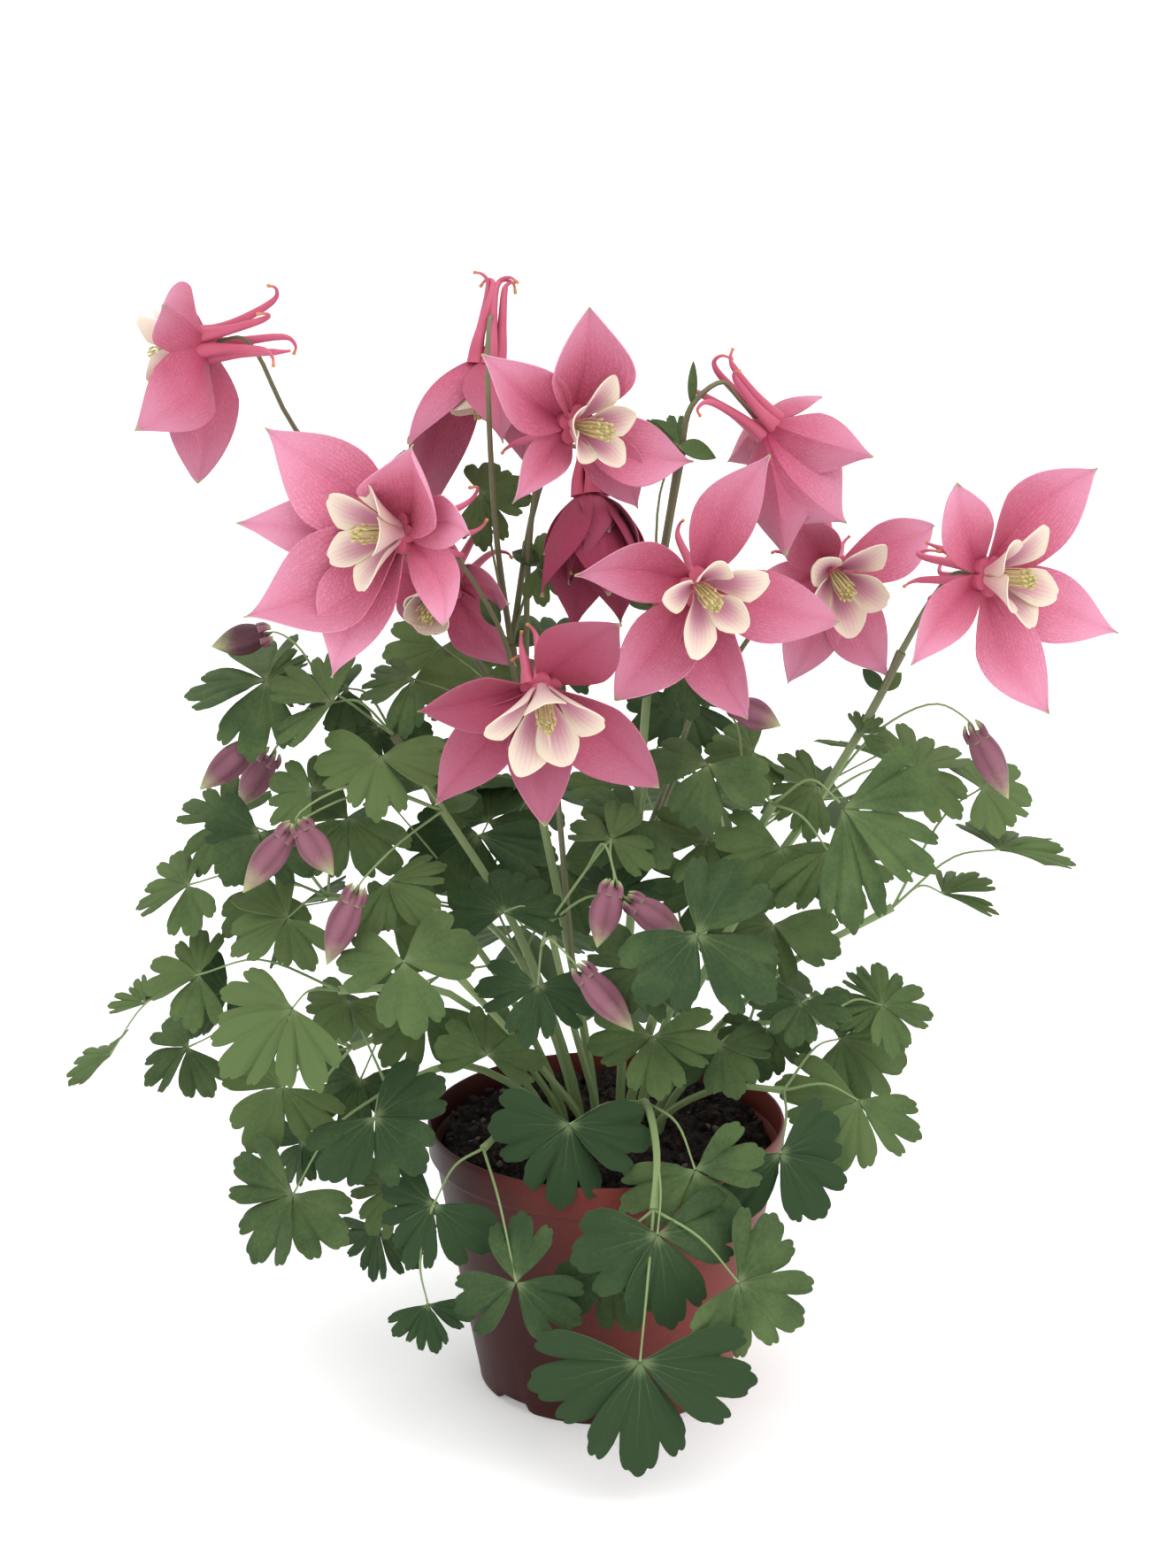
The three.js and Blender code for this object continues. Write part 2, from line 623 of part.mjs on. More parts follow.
// A round bar of changing radius, bent along a curve. It keeps `side` level across the bend.
function bar(curve, radiusAt, sides, steps, side) {
  const end = radiusAt(1) > 0 ? 1 : 0;
  return solid(new THREE.CylinderGeometry(end, 1, 1, sides, steps), (p) => {
    const along = p.y + 0.5;
    const heading = curve.getTangent(along);
    const across = side.clone().addScaledVector(heading, -side.dot(heading)).normalize();
    const out = new THREE.Vector3().crossVectors(across, heading);
    const middle = curve.getPoint(along);
    const around = Math.hypot(p.x, p.z) || 1;
    const radius = radiusAt(along) / around;
    return middle.addScaledVector(across, p.x * radius).addScaledVector(out, p.z * radius);
  });
}

// A thin blade: two faces that meet round the edge. `spine` is its curve, `width` its half width,
// `hollow` how far the edges stand forward and `twist` its turn, all of it in the base's claw.
function blade(spine, side, steps, width, thick, hollow, twist) {
  const front = new THREE.PlaneGeometry(2, 1, 2, steps);
  const back = front.clone();
  back.index.array.reverse();
  [front, back].forEach((face, isBack) => {
    const points = face.getAttribute("position");
    for (let i = 0; i < points.count; i++) {
      const u = points.getX(i);
      const along = points.getY(i) + 0.5;
      const heading = spine.getTangent(along);
      const across = side.clone().applyAxisAngle(heading, twist * Math.min(1, along / CLAW));
      const out = new THREE.Vector3().crossVectors(across, heading);
      const half = u === 0 && along > 0 && along < 1 ? thick / 2 : 0;
      const rise = hollow * u * u * width(along) + (isBack ? -half : half);
      const p = spine.getPoint(along);
      p.addScaledVector(across, u * width(along)).addScaledVector(out, rise);
      points.setXYZ(i, p.x, p.y, p.z);
    }
  });
  return solid(mergeGeometries([front, back]));
}

// ---- Pot and soil ----

const potRadius = (z) => {
  const share = z / (POT.height - POT.bandHeight);
  return THREE.MathUtils.lerp(POT.footRadius, POT.rimRadius - POT.bandStep, share);
};

function pot() {
  const { height, rimRadius, wall, floor } = POT;
  const band = height - POT.bandHeight;
  const profile = [
    [0, 0], [POT.footRadius, 0], [potRadius(band), band], [rimRadius, band + 1.5],
    [rimRadius, height], [rimRadius - wall, height], [rimRadius - wall, band + 1.5 + wall],
    [potRadius(band) - wall, band + wall], [potRadius(floor) - wall, floor], [0, floor],
  ].map(([x, y]) => new THREE.Vector2(x, y));
  let shell = solid(new THREE.LatheGeometry(profile, POT.sides).rotateX(Math.PI / 2));
  for (let i = 0; i < POT.notches; i++) {
    const cut = new THREE.BoxGeometry(POT.wall * 8, POT.notchWidth, POT.notchHeight * 2);
    cut.translate(POT.footRadius, 0, 0).rotateZ((2 * Math.PI * (i + 0.2)) / POT.notches);
    shell = shell.subtract(solid(cut));
  }
  return shell;
}

function soil(feet) {
  const bottom = POT.floor + SOIL.gap;
  const edge = potRadius(SOIL.edge) - POT.wall - SOIL.gap;
  const low = potRadius(bottom) - POT.wall - SOIL.gap;
  const rings = SOIL.rings.map((share) => [share * edge, SOIL.heap]);
  const profile = [[0, bottom], [low, bottom], [edge - 0.5, SOIL.edge], ...rings, [0, SOIL.heap]];
  const turned = new THREE.LatheGeometry(
    profile.map(([x, y]) => new THREE.Vector2(x, y)),
    SOIL.sides,
  );
  const heap = solid(turned.rotateX(Math.PI / 2), (p) => {
    if (p.z < SOIL.heap - 1) return p;
    const lump = Math.sin(p.x * 0.31 + 1) * Math.cos(p.y * 0.27) + Math.sin(p.x * p.y * 0.03);
    const fall = Math.hypot(p.x, p.y) / edge;
    return p.setZ(p.z + SOIL.lump * lump - SOIL.dome * fall * fall + SOIL.slope * p.y);
  });
  const depth = 2 * (FOOT.high - FOOT.low);
  return feet.reduce((rest, [x, y, radius]) => {
    const hole = new THREE.CylinderGeometry(radius + FOOT.play, radius + FOOT.play, depth, 4);
    hole.rotateX(Math.PI / 2).translate(x, y, FOOT.low - FOOT.play + depth / 2);
    return rest.subtract(solid(hole));
  }, heap);
}

// ---- Leaves and stems ----

function leafGroup([x, y, z, length, roll, turn, tilt, spread = 85]) {
  const narrow = Math.min(1, spread / FULL_SPREAD);
  const { half } = LEAFLETS.find(({ upTo }) => length <= upTo);
  const right = half.map(([a, b]) => [a * narrow, b]);
  const leaflet = [...right.map(([a, b]) => [-a, b]), ...right.toReversed()];
  const turns = [spread, 0, -spread].map(radians);
  const middle = new THREE.Vector2();
  const rim = turns.flatMap((angle, i) => {
    const gap = i === 0 ? Math.PI : angle + radians(spread) / 2;
    const notch = new THREE.Vector2(-Math.sin(gap), Math.cos(gap)).multiplyScalar(HUB_RADIUS);
    return [notch, ...leaflet.map(([a, b]) => new THREE.Vector2(a, b).rotateAround(middle, angle))];
  });
  const frame = facing([x, y, z], turn, tilt, roll);
  // A ball of two fans: its poles become the hub's two faces and its equator the rim.
  const ball = new THREE.SphereGeometry(1, rim.length, 2).rotateX(Math.PI / 2);
  return solid(ball, (p) => {
    if (Math.abs(p.z) > 0.5) return p.set(0, 0, LEAF.thick * p.z).applyMatrix4(frame);
    const place = Math.round((Math.atan2(-p.y, -p.x) * rim.length) / (2 * Math.PI));
    const edge = rim.at(-place);
    const angle = Math.atan2(-edge.x, edge.y);
    const off = Math.min(...turns.map((way) => Math.abs(angle - way)), Math.PI / 2);
    const reach = edge.length();
    const bend = LEAF.fold * reach * Math.sin(off) - LEAF.droop * reach * reach;
    return p.set(edge.x, edge.y, bend).multiplyScalar(length).applyMatrix4(frame);
  });
}

// A foot in the soil stands straight until it is clear of it.
const rise = ([x, y]) => [FOOT.low, FOOT.high].map((z) => new THREE.Vector3(x, y, z));

function stalk([radius, ...points]) {
  const path = points.flatMap((p) => (p.length === 3 ? [vector(p)] : rise(p)));
  const curve = new THREE.CatmullRomCurve3(path, false, "centripetal");
  const chord = path.at(-1).clone().sub(path[0]);
  const side = new THREE.Vector3(chord.y, -chord.x, 0).normalize();
  const taper = radius < STALK.petiole ? 0.5 : 0.2;
  return bar(curve, (along) => radius * (1 - taper * along), 3, path.length - 1, side);
}

// A flower's stalk is reached from its branch by points, and ends behind the flower's core.
function flowerStalk({ at, face }, points) {
  const behind = (depth) => vector([0, 0, -depth]).applyMatrix4(facing(at, ...face)).toArray();
  const end = BLOOM.coreDepth / 2 + BLOOM.join;
  return stalk([STALK.branch, ...points, behind(end + BLOOM.neck), behind(end)]);
}

// A bud's stalk ends just short of its base, in line with it.
function budStalk([base, tip], points) {
  const along = vector(base).sub(vector(tip)).normalize();
  const behind = (depth) => vector(base).addScaledVector(along, depth).toArray();
  return stalk([STALK.thread, ...points, behind(BUD.neck), behind(BLOOM.join)]);
}

function green({ stalks, leaves, blooms = {}, buds = {} }) {
  const flowers = Object.entries(blooms).map(([name, way]) => flowerStalk(BLOOMS[name], way));
  const drops = Object.entries(buds).map(([name, way]) => budStalk(BUDS[name], way));
  return join([...stalks.map(stalk), ...flowers, ...drops, ...leaves.map(leafGroup)]);
}

// ---- Blooms and buds ----

const outward = (angle) => new THREE.Vector3(Math.sin(angle), Math.cos(angle), 0);
const across = (angle) => new THREE.Vector3(Math.cos(angle), -Math.sin(angle), 0);

function sepal([angle, length, lift, turned = BLOOM.sepalTwist, wide = 1, bulge = 0]) {
  const out = outward(radians(angle));
  const rise = length * Math.sin(radians(lift));
  const reach = length * Math.cos(radians(lift));
  const point = (share, height) => out.clone().multiplyScalar(share * reach).setZ(height);
  const bend = point(0.55, 0.2 * rise).addScaledVector(out, bulge);
  const spine = new THREE.QuadraticBezierCurve3(point(0.03, 0), bend, point(1, rise));
  const most = length * BLOOM.sepalWidth * wide;
  const width = (along) => most * (0.06 + 3.5 * along * Math.max(1 - along, 0) ** 0.9);
  const side = across(radians(angle));
  return blade(spine, side, 3, width, BLOOM.sepalThick, BLOOM.sepalHollow, radians(turned));
}

function spur(angle) {
  const path = SPUR.map(([far, back]) => {
    return outward(angle).multiplyScalar(far).setZ(-BLOOM.spur * back);
  });
  const curve = new THREE.CatmullRomCurve3(path);
  return bar(curve, (along) => BLOOM.spurRadius * (1 - along), 3, 3, across(angle));
}

function corolla(sepals, turned) {
  const { core: radius, coreDepth, petals } = BLOOM;
  const core = new THREE.CylinderGeometry(radius, radius, coreDepth, petals);
  const turns = Array.from({ length: petals }, (_, i) => radians(turned + (i * 360) / petals));
  const spurs = turns.map(spur);
  return join([solid(core.rotateX(Math.PI / 2)), ...sepals.map(sepal), ...spurs]);
}

// The five petals are one sheet, cut between them and bent up into a cup.
function cup(turned, open = BLOOM.petalSpread) {
  const { petals, petal, petalThick, notch } = BLOOM;
  const spread = radians(open);
  const reach = (share) => petal * Math.sin(spread) * share ** 0.8;
  const height = (share) => petal * Math.cos(spread) * share ** 1.3;
  const half = PETAL.map(([angle, share]) => [-angle, share]);
  const lobe = [[-180 / petals, notch], ...half, ...PETAL.toReversed()];
  const outline = Array.from({ length: petals }, (_, i) => {
    const middle = turned + (i * 360) / petals;
    return lobe.map(([angle, share]) => outward(radians(middle + angle)).multiplyScalar(share));
  }).flat();
  const sheet = new THREE.ExtrudeGeometry(new THREE.Shape(outline), { depth: 1, bevelEnabled: false });
  const floor = BLOOM.coreDepth / 2 + BLOOM.join - height(notch);
  return solid(sheet, (p) => {
    const share = Math.hypot(p.x, p.y);
    const scale = reach(share) / share;
    return p.set(p.x * scale, p.y * scale, floor + height(share) + p.z * petalThick);
  });
}

// Stamens stand in one bunch, a crown whose corners are their tips.
function stamens(above) {
  const foot = BLOOM.coreDepth / 2 + BLOOM.join + BLOOM.petalThick + above;
  const { stamenTips, stamenRadius, stamenLength } = BLOOM;
  const crown = new THREE.CylinderGeometry(stamenRadius, 1.2, stamenLength, stamenTips * 2);
  crown.rotateX(Math.PI / 2).translate(0, 0, foot + stamenLength / 2);
  const step = Math.PI / stamenTips;
  return solid(crown, (p) => {
    if (p.z < foot + 1) return p;
    const between = Math.round(Math.atan2(p.y, p.x) / step) % 2;
    const middle = Math.hypot(p.x, p.y) < 0.1;
    const cut = middle || between ? 0.55 : 1;
    return p.set(p.x * cut, p.y * cut, p.z - stamenLength * (middle ? 0.1 : between ? 0.25 : 0));
  });
}

function bud([base, tip]) {
  const from = vector(base);
  const length = from.distanceTo(vector(tip));
  const profile = BUD.profile.map(([r, share]) => new THREE.Vector2(r * BUD.radius, share * length));
  const turn = new THREE.Quaternion();
  turn.setFromUnitVectors(new THREE.Vector3(0, 1, 0), vector(tip).sub(from).normalize());
  return solid(new THREE.LatheGeometry(profile, BUD.sides), (p) => p.applyQuaternion(turn).add(from));
}

// ---- The plant ----

const plant = new THREE.Group();

function place(name, shape, colour) {
  const { vertProperties, triVerts } = shape.getMesh();
  const geometry = new THREE.BufferGeometry();
  geometry.setAttribute("position", new THREE.BufferAttribute(vertProperties, 3));
  geometry.setIndex(new THREE.BufferAttribute(triVerts, 1));
  geometry.computeVertexNormals();
  const [color, roughness] = COLOURS[colour];
  const material = new THREE.MeshStandardMaterial({ color, roughness, metalness: 0, flatShading: true });
  const mesh = new THREE.Mesh(geometry, material);
  mesh.name = name;
  plant.add(mesh);
  return mesh;
}

place("pot", pot(), "pot");
const feet = Object.values(GREENS).map(({ stalks: [[radius, [x, y]]] }) => [x, y, radius]);
place("soil", soil(feet), "soil");
for (const [name, parts] of Object.entries(GREENS)) place(name, green(parts), "leaf");

for (const [name, { at, face, sepals, petals, spread, shut }] of Object.entries(BLOOMS)) {
  const frame = facing(at, ...face);
  place(name + "_sepals", corolla(sepals, petals), "sepal").applyMatrix4(frame);
  const inside = shut ? join([cup(petals, spread), stamens(-BLOOM.petalThick)]) : cup(petals);
  place(name + "_petals", inside, "petal").applyMatrix4(frame);
  if (!shut) place(name + "_stamens", stamens(BLOOM.join), "stamen").applyMatrix4(frame);
}

for (const [name, ends] of Object.entries(BUDS)) place(name, bud(ends), "bud");

export default plant;
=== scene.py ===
"""A potted columbine in flower: leaves, stems, blooms, buds, soil and pot, dressed for looks."""

import json
import random
from math import copysign, cos, exp, hypot, pi, radians, sin, sqrt

import bmesh
import bpy
from bpy.props import FloatProperty, FloatVectorProperty, IntProperty, PointerProperty
from mathutils import Matrix, Vector, noise

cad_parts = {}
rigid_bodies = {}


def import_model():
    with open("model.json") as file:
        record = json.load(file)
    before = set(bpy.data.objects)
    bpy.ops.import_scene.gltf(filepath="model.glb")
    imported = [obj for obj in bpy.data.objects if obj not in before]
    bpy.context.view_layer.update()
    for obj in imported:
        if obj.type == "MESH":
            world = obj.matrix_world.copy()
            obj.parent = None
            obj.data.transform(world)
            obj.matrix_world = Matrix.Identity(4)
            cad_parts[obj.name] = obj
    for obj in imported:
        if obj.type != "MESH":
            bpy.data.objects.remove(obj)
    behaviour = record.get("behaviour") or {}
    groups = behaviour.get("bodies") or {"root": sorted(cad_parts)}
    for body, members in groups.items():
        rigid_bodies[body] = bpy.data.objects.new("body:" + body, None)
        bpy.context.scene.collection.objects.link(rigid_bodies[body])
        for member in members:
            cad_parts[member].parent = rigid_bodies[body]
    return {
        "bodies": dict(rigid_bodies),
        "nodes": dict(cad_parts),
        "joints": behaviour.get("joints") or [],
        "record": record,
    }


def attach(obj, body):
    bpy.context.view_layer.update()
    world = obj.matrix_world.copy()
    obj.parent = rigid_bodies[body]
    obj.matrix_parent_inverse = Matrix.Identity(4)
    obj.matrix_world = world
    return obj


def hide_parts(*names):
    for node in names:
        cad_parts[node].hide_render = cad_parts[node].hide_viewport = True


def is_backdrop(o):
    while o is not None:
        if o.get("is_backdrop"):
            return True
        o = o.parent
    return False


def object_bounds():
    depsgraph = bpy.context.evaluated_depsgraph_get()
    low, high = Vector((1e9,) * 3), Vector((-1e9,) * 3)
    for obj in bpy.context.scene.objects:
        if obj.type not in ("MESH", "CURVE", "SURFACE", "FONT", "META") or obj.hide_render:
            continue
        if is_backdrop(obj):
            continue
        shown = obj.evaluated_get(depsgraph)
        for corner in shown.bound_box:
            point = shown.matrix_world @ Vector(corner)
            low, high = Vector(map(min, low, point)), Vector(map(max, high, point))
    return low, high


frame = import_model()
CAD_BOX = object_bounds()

bl_info = {
    "name": "Potted columbine",
    "version": (1, 0, 0),
    "blender": (4, 5, 0),
    "location": "View3D > Sidebar > Columbine",
    "description": "Builds a potted columbine in flower, leaf by leaf and bloom by bloom",
    "category": "Add Mesh",
}

MM = 0.001

# Radii of stalks.
STEM, PETIOLE, BRANCH, THREAD = 1.5, 1.3, 0.5, 0.45

# ---- Where everything grows, in millimetres ----


def grown(main, *forks, more=(), leaves=(), **flowers):
    """A stalk from the soil with its forks, its leaf groups and its flowers' stalks. A stalk is its
    radius and its points, the first of the main one being its place in the soil. A leaf group is x,
    y, z, leaflet length, roll, turn, tilt and, where it isn't the usual one, spread: roll is the way
    the middle leaflet points, clockwise from up, and turn and tilt aim the face, 0, 0 being level at
    the viewer. A fork is the point it leaves from and its ways, each with its bend, its end and,
    where a leaf group sits at the end, what follows x, y, z in that group."""
    stalks, groups = [main], []
    for start, *ways in forks:
        for way in ways:
            stalks.append((BRANCH, start, way[:3], way[3:6]))
            if len(way) > 6:
                groups.append(way[3:])
    return {"stalks": [*stalks, *more], "leaves": [*groups, *leaves], **flowers}


GREENS = {
  "fronds_front": grown(
    (PETIOLE, (6, -18), (11, -36, 103), (14, -58, 96), (13, -70, 84)),
    ((13, -70, 84), (11, -84, 66, 9, -92, 47, 34, 180, 0, 22, 78),
      (26, -76, 78, 37, -80, 66, 24, 125, 15, 25), (6, -72, 78, 1, -71, 66, 19, 160, 0, 25)),
    ((14, -58, 96), (15, -68, 88, 14, -76, 79, 25, 170, 5, 30)),
    ((11, -36, 103), (0, -42, 105, -11, -46, 100, 25, 185, -5, 32),
      (20, -50, 102, 25, -60, 92, 23, 165, 10, 38)),
  ),
  "frond_front_left": grown(
    (PETIOLE, (-8, -16), (-24, -28, 96), (-36, -40, 90)),
    ((-36, -40, 90), (-31, -64, 84, -26, -78, 65, 21, 0, -10, 20, 120),
      (-44, -48, 88, -50, -55, 79, 20, 200, -20, 38)),
    ((-50, -55, 79), (-54, -58, 62, -52, -56, 48, 14, 160, -20, 20, 60)),
  ),
  "frond_left_low": grown(
    (PETIOLE, (-14, -9), (-42, -20, 108), (-64, -26, 103)),
    ((-64, -26, 103), (-66, -38, 106, -67, -45, 102, 23, 130, -15, 45),
      (-80, -30, 92, -92, -32, 72, 24, 205, -25, 35),
      (-68, -14, 80, -68, -12, 52, 17, 185, -30, 20, 60)),
    ((-68, -14, 80), (-65, -24, 80, -62, -32, 75, 18, 205, -20, 25, 70)),
    ((-64, -26, 103), (-71, -18, 116, -76, -12, 125, 15, 200, -10, 40)),
  ),
  "frond_left_back": grown(
    (PETIOLE, (-18, 2), (-48, 6, 112), (-76, 4, 104)),
    ((-76, 4, 104), (-88, -6, 104, -96, -10, 97, 20, 205, -20, 45),
      (-104, 12, 110, -126, 14, 100, 17, 215, -35, 45), (-86, 12, 88, -92, 16, 68, 14, 200, -35, 30),
      (-96, 2, 118, -112, 0, 123, 17, 205, -30, 45)),
    ((-48, 6, 112), (-52, 2, 118, -54, -2, 119, 20, 215, -5, 42)),
  ),
  "frond_left_mid": grown(
    (PETIOLE, (-13, -3), (-46, -14, 128), (-78, -24, 133)),
    ((-78, -24, 133), (-86, -38, 138, -90, -46, 136, 27, 217, -20, 48, 68),
      (-102, -12, 138, -120, -6, 131, 18, 245, -30, 55)),
    more=[(THREAD, (-120, -6, 131), (-136, -6, 122), (-147, -7, 106))],
    leaves=[(-136, -6, 122, 13, 300, -40, 55, 50), (-147, -7, 106, 15, 245, -50, 62, 60)],
  ),
  "frond_left_high": grown(
    (PETIOLE, (-13, 6), (-48, 4, 146), (-82, -2, 154)),
    ((-82, -2, 154), (-88, -10, 155, -93, -15, 152, 20, 225, -20, 50),
      (-104, 4, 160, -124, 8, 154, 18, 235, -30, 52), (-98, 12, 168, -113, 18, 171, 18, 285, -25, 55),
      (-92, -8, 170, -101, -11, 177, 19, 200, -15, 45), (-80, -6, 170, -75, -10, 181, 20, 215, -10, 45),
      (-92, 8, 154, -101, 14, 150, 19, 225, -20, 45)),
  ),
  "frond_centre_left": grown(
    (PETIOLE, (-6, -11), (-20, -20, 108), (-43, -26, 138)),
    ((-43, -26, 138), (-52, -38, 150, -58, -48, 151, 21, 165, -10, 45, 105)),
    ((-20, -20, 108), (-27, -24, 114, -35, -27, 114, 17, 5, -10, 42)),
    ((-43, -26, 138), (-54, -26, 156, -63, -25, 167, 18, 125, -10, 50, 65)),
  ),
  "stem_left": grown(
    (STEM, (-8, 5), (-26, 4, 140), (-48, 0, 180), (-62, 0, 203)),
    ((-62, 0, 203), (-82, 4, 216, -99, 6, 218, 26, 252, -20, 60, 80), (-72, -8, 216, -79, -13, 217)),
    ((-48, 0, 180), (-58, -12, 198, -65, -20, 203)),
    ((-62, 0, 203), (-70, 6, 214, -76, 8, 215)),
    ((-48, 0, 180), (-68, -10, 191, -85, -18, 192)),
    ((-62, 0, 203), (-66, 6, 204, -67, 10, 202)),
    leaves=[
      (-99, 6, 218, 15, 75, -20, 60, 40), (-79, -13, 217, 20, 285, -15, 48, 60),
      (-76, 8, 215, 14, 255, -10, 50), (-85, -18, 192, 16, 290, -15, 50),
      (-67, 10, 202, 19, 200, -10, 45), (-65, -20, 203, 20, 175, -10, 45),
    ],
    buds={
      "bud_1": [(-82, 4, 216), (-90, 2, 230)], "bud_2": [(-82, 4, 216), (-94, -1, 213)],
      "bud_3": [(-82, 4, 216), (-92, 9, 203)], "bud_4": [(-48, 0, 180), (-68, -18, 192)],
      "bud_5": [(-48, 0, 180), (-74, -26, 196)], "bud_6": [(-48, 0, 180), (-62, -30, 178)],
    },
  ),
  "frond_centre": grown(
    (PETIOLE, (-2, -6), (-10, -12, 118), (-17, -14, 150)),
    ((-17, -14, 150), (-24, -16, 156, -30, -18, 155, 18, 350, -5, 50),
      (-19, -28, 148, -20, -36, 139, 18, 190, 0, 45), (-6, -18, 168, 1, -20, 178, 14, 30, 5, 50)),
    ((-6, -18, 168), (2, -14, 178, 8, -10, 181, 17, 230, 0, 45)),
    ((-17, -14, 150), (-6, -14, 158, 2, -12, 158, 15, 40, 0, 45, 70)),
    buds={
      "bud_7": [(-6, -18, 168), (-1, -36, 182)], "bud_8": [(1, -20, 178), (1, -36, 177)],
      "bud_9": [(-19, -28, 148), (-16, -44, 156)],
    },
  ),
  "frond_centre_right": grown(
    (PETIOLE, (5, -11), (10, -20, 110), (16, -28, 138)),
    ((16, -28, 138), (22, -44, 158, 25, -56, 162, 27, 130, 10, 42, 95),
      (13, -38, 148, 10, -44, 148, 18, 220, 0, 45)),
    ((10, -20, 110), (13, -26, 120, 13, -30, 121, 20, 180, 5, 50)),
  ),
  "frond_right_low": grown(
    (PETIOLE, (14, -9), (34, -18, 100), (52, -20, 100)),
    ((52, -20, 100), (64, -20, 102, 74, -18, 96, 23, 210, 20, 42),
      (62, -6, 108, 70, 6, 106, 23, 110, 25, 45), (52, -36, 98, 50, -46, 91, 24, 155, 25, 25)),
    ((34, -18, 100), (34, -20, 112, 33, -20, 114, 17, 170, 5, 50)),
  ),
  "frond_right_mid": grown(
    (PETIOLE, (17, 0), (42, 0, 112), (64, -2, 115)),
    ((64, -2, 115), (74, 2, 120, 82, 5, 117, 18, 110, 30, 50), (60, -12, 126, 57, -16, 126)),
    ((42, 0, 112), (46, 4, 112, 48, 6, 109), (48, 10, 128, 50, 15, 139)),
    leaves=[
      (82, 5, 117, 16, 300, 30, 50, 45), (57, -16, 126, 15, 200, 10, 50), (48, 6, 109, 15, 190, 10, 50),
      (50, 15, 139, 21, 200, 10, 45),
    ],
  ),
  "frond_right_high": grown(
    (PETIOLE, (9, -4), (26, -8, 140), (48, -12, 186)),
    ((48, -12, 186), (58, -32, 200, 65, -46, 198)),
    ((26, -8, 140), (40, -16, 172, 50, -22, 176)),
    ((48, -12, 186), (38, -14, 197, 29, -15, 199), (56, -24, 186, 63, -30, 178)),
    ((26, -8, 140), (28, -8, 164, 29, -6, 173)),
    leaves=[
      (66, -46, 196, 33, 124, 12, 40, 56), (63, -30, 178, 22, 170, 10, 40, 60),
      (50, -22, 176, 20, 200, 5, 45), (29, -15, 199, 20, 200, 0, 45), (29, -6, 173, 19, 195, 0, 45),
    ],
  ),
  "frond_right_back": grown(
    (PETIOLE, (16, 8), (50, 16, 122), (86, 22, 142)),
    ((86, 22, 142), (104, 22, 158, 117, 20, 161, 25, 60, 20, 70, 50),
      (95, 30, 146, 102, 34, 142, 18, 80, 20, 68, 45), (102, 28, 170, 112, 27, 178, 17, 95, 20, 60)),
  ),
  "fronds_back_left": grown(
    (PETIOLE, (-10, 14), (-26, 40, 118), (-40, 62, 126)),
    ((-40, 62, 126), (-54, 72, 134, -62, 82, 128, 22, 200, -150, 50),
      (-34, 84, 122, -26, 98, 108, 24, 180, 180, 42)),
    ((-26, 40, 118), (-52, 46, 150, -66, 50, 166, 20, 250, -110, 55)),
    ((-40, 62, 126), (-30, 68, 150, -22, 70, 164, 22, 180, 175, 48)),
    ((-26, 40, 118), (-52, 58, 106, -72, 66, 92, 22, 190, -140, 40)),
    ((-40, 62, 126), (-72, 54, 134, -94, 50, 132, 20, 200, -110, 50)),
    ((-26, 40, 118), (-36, 46, 140, -39, 48, 156, 24, 190, 0, 40),
      (-18, 46, 134, -14, 48, 146, 22, 160, 5, 40)),
    ((-36, 46, 140), (-46, 38, 162, -55, 34, 176, 20, 20, -5, 35)),
    ((-40, 62, 126), (-40, 67, 144, -36, 64, 155, 18, 20, 0, 35),
      (-54, 54, 132, -65, 44, 127, 18, 30, -10, 35)),
    ((-52, 58, 106), (-66, 44, 98, -75, 30, 83, 18, 190, -20, 30)),
  ),
  "fronds_back_right": grown(
    (PETIOLE, (8, 15), (24, 42, 124), (38, 60, 146)),
    ((38, 60, 146), (34, 78, 158, 28, 92, 154, 24, 180, 175, 45),
      (58, 66, 160, 74, 72, 160, 22, 160, 130, 50)),
    ((24, 42, 124), (44, 68, 116, 52, 84, 96, 22, 175, 150, 35),
      (18, 52, 152, 8, 58, 178, 20, 180, 170, 50)),
    ((38, 60, 146), (66, 48, 172, 82, 46, 182, 20, 140, 110, 55)),
    ((24, 42, 124), (12, 74, 112, 6, 92, 88, 20, 180, 180, 35),
      (30, 40, 136, 32, 38, 144, 22, 180, 5, 40)),
  ),
  "stem_right": grown(
    (STEM, (10, 4), (36, 6, 140), (62, 4, 182), (79, 2, 214), (85, 1, 228)),
    ((62, 4, 182), (78, 14, 188, 92, 24, 185, 20, 60, 15, 58),
      (62, 2, 186, 61, -2, 188, 17, 260, 5, 50, 65)),
    ((36, 6, 140), (40, 8, 180, 43, 10, 195, 16, 255, 5, 55)),
    leaves=[(73.5, -2, 204, 9, 60, 10, 50, 60)],
    blooms={"bloom_9": [(85, 1, 228), (93, -1, 244)]},
    buds={
      "bud_10": [(62, 4, 182), (80, 4, 204), (96, 2, 212)],
      "bud_11": [(40, 8, 180), (38, 6, 204), (32, 2, 214)],
    },
  ),
  "stem_centre_right": grown(
    (STEM, (4, 2), (8, 4, 160), (14, 4, 240), (21, 8, 286)),
    ((14, 4, 240), (19, 6, 230, 21, 3, 223), (15, 5, 274, 20, 5, 288, 14, 300, 0, 45, 50)),
    ((8, 4, 160), (14, 20, 190, 23, 28, 205, 20, 150, 10, 50), (6, 8, 176, 4, 10, 184, 17, 285, 0, 50)),
    leaves=[(21, 3, 223, 17, 170, 5, 45)],
    blooms={
      "bloom_7": [(21, 8, 286), (24, 9, 299), (33, 13, 305)],
      "bloom_6": [(8, 4, 160), (26, 0, 215), (29, -12, 240)], "bloom_8": [(8, 4, 160), (36, 36, 212)],
    },
  ),
  "stems_centre": grown(
    (STEM, (-3, 0), (-10, 2, 130), (-24, 12, 200), (-28, 15, 226)),
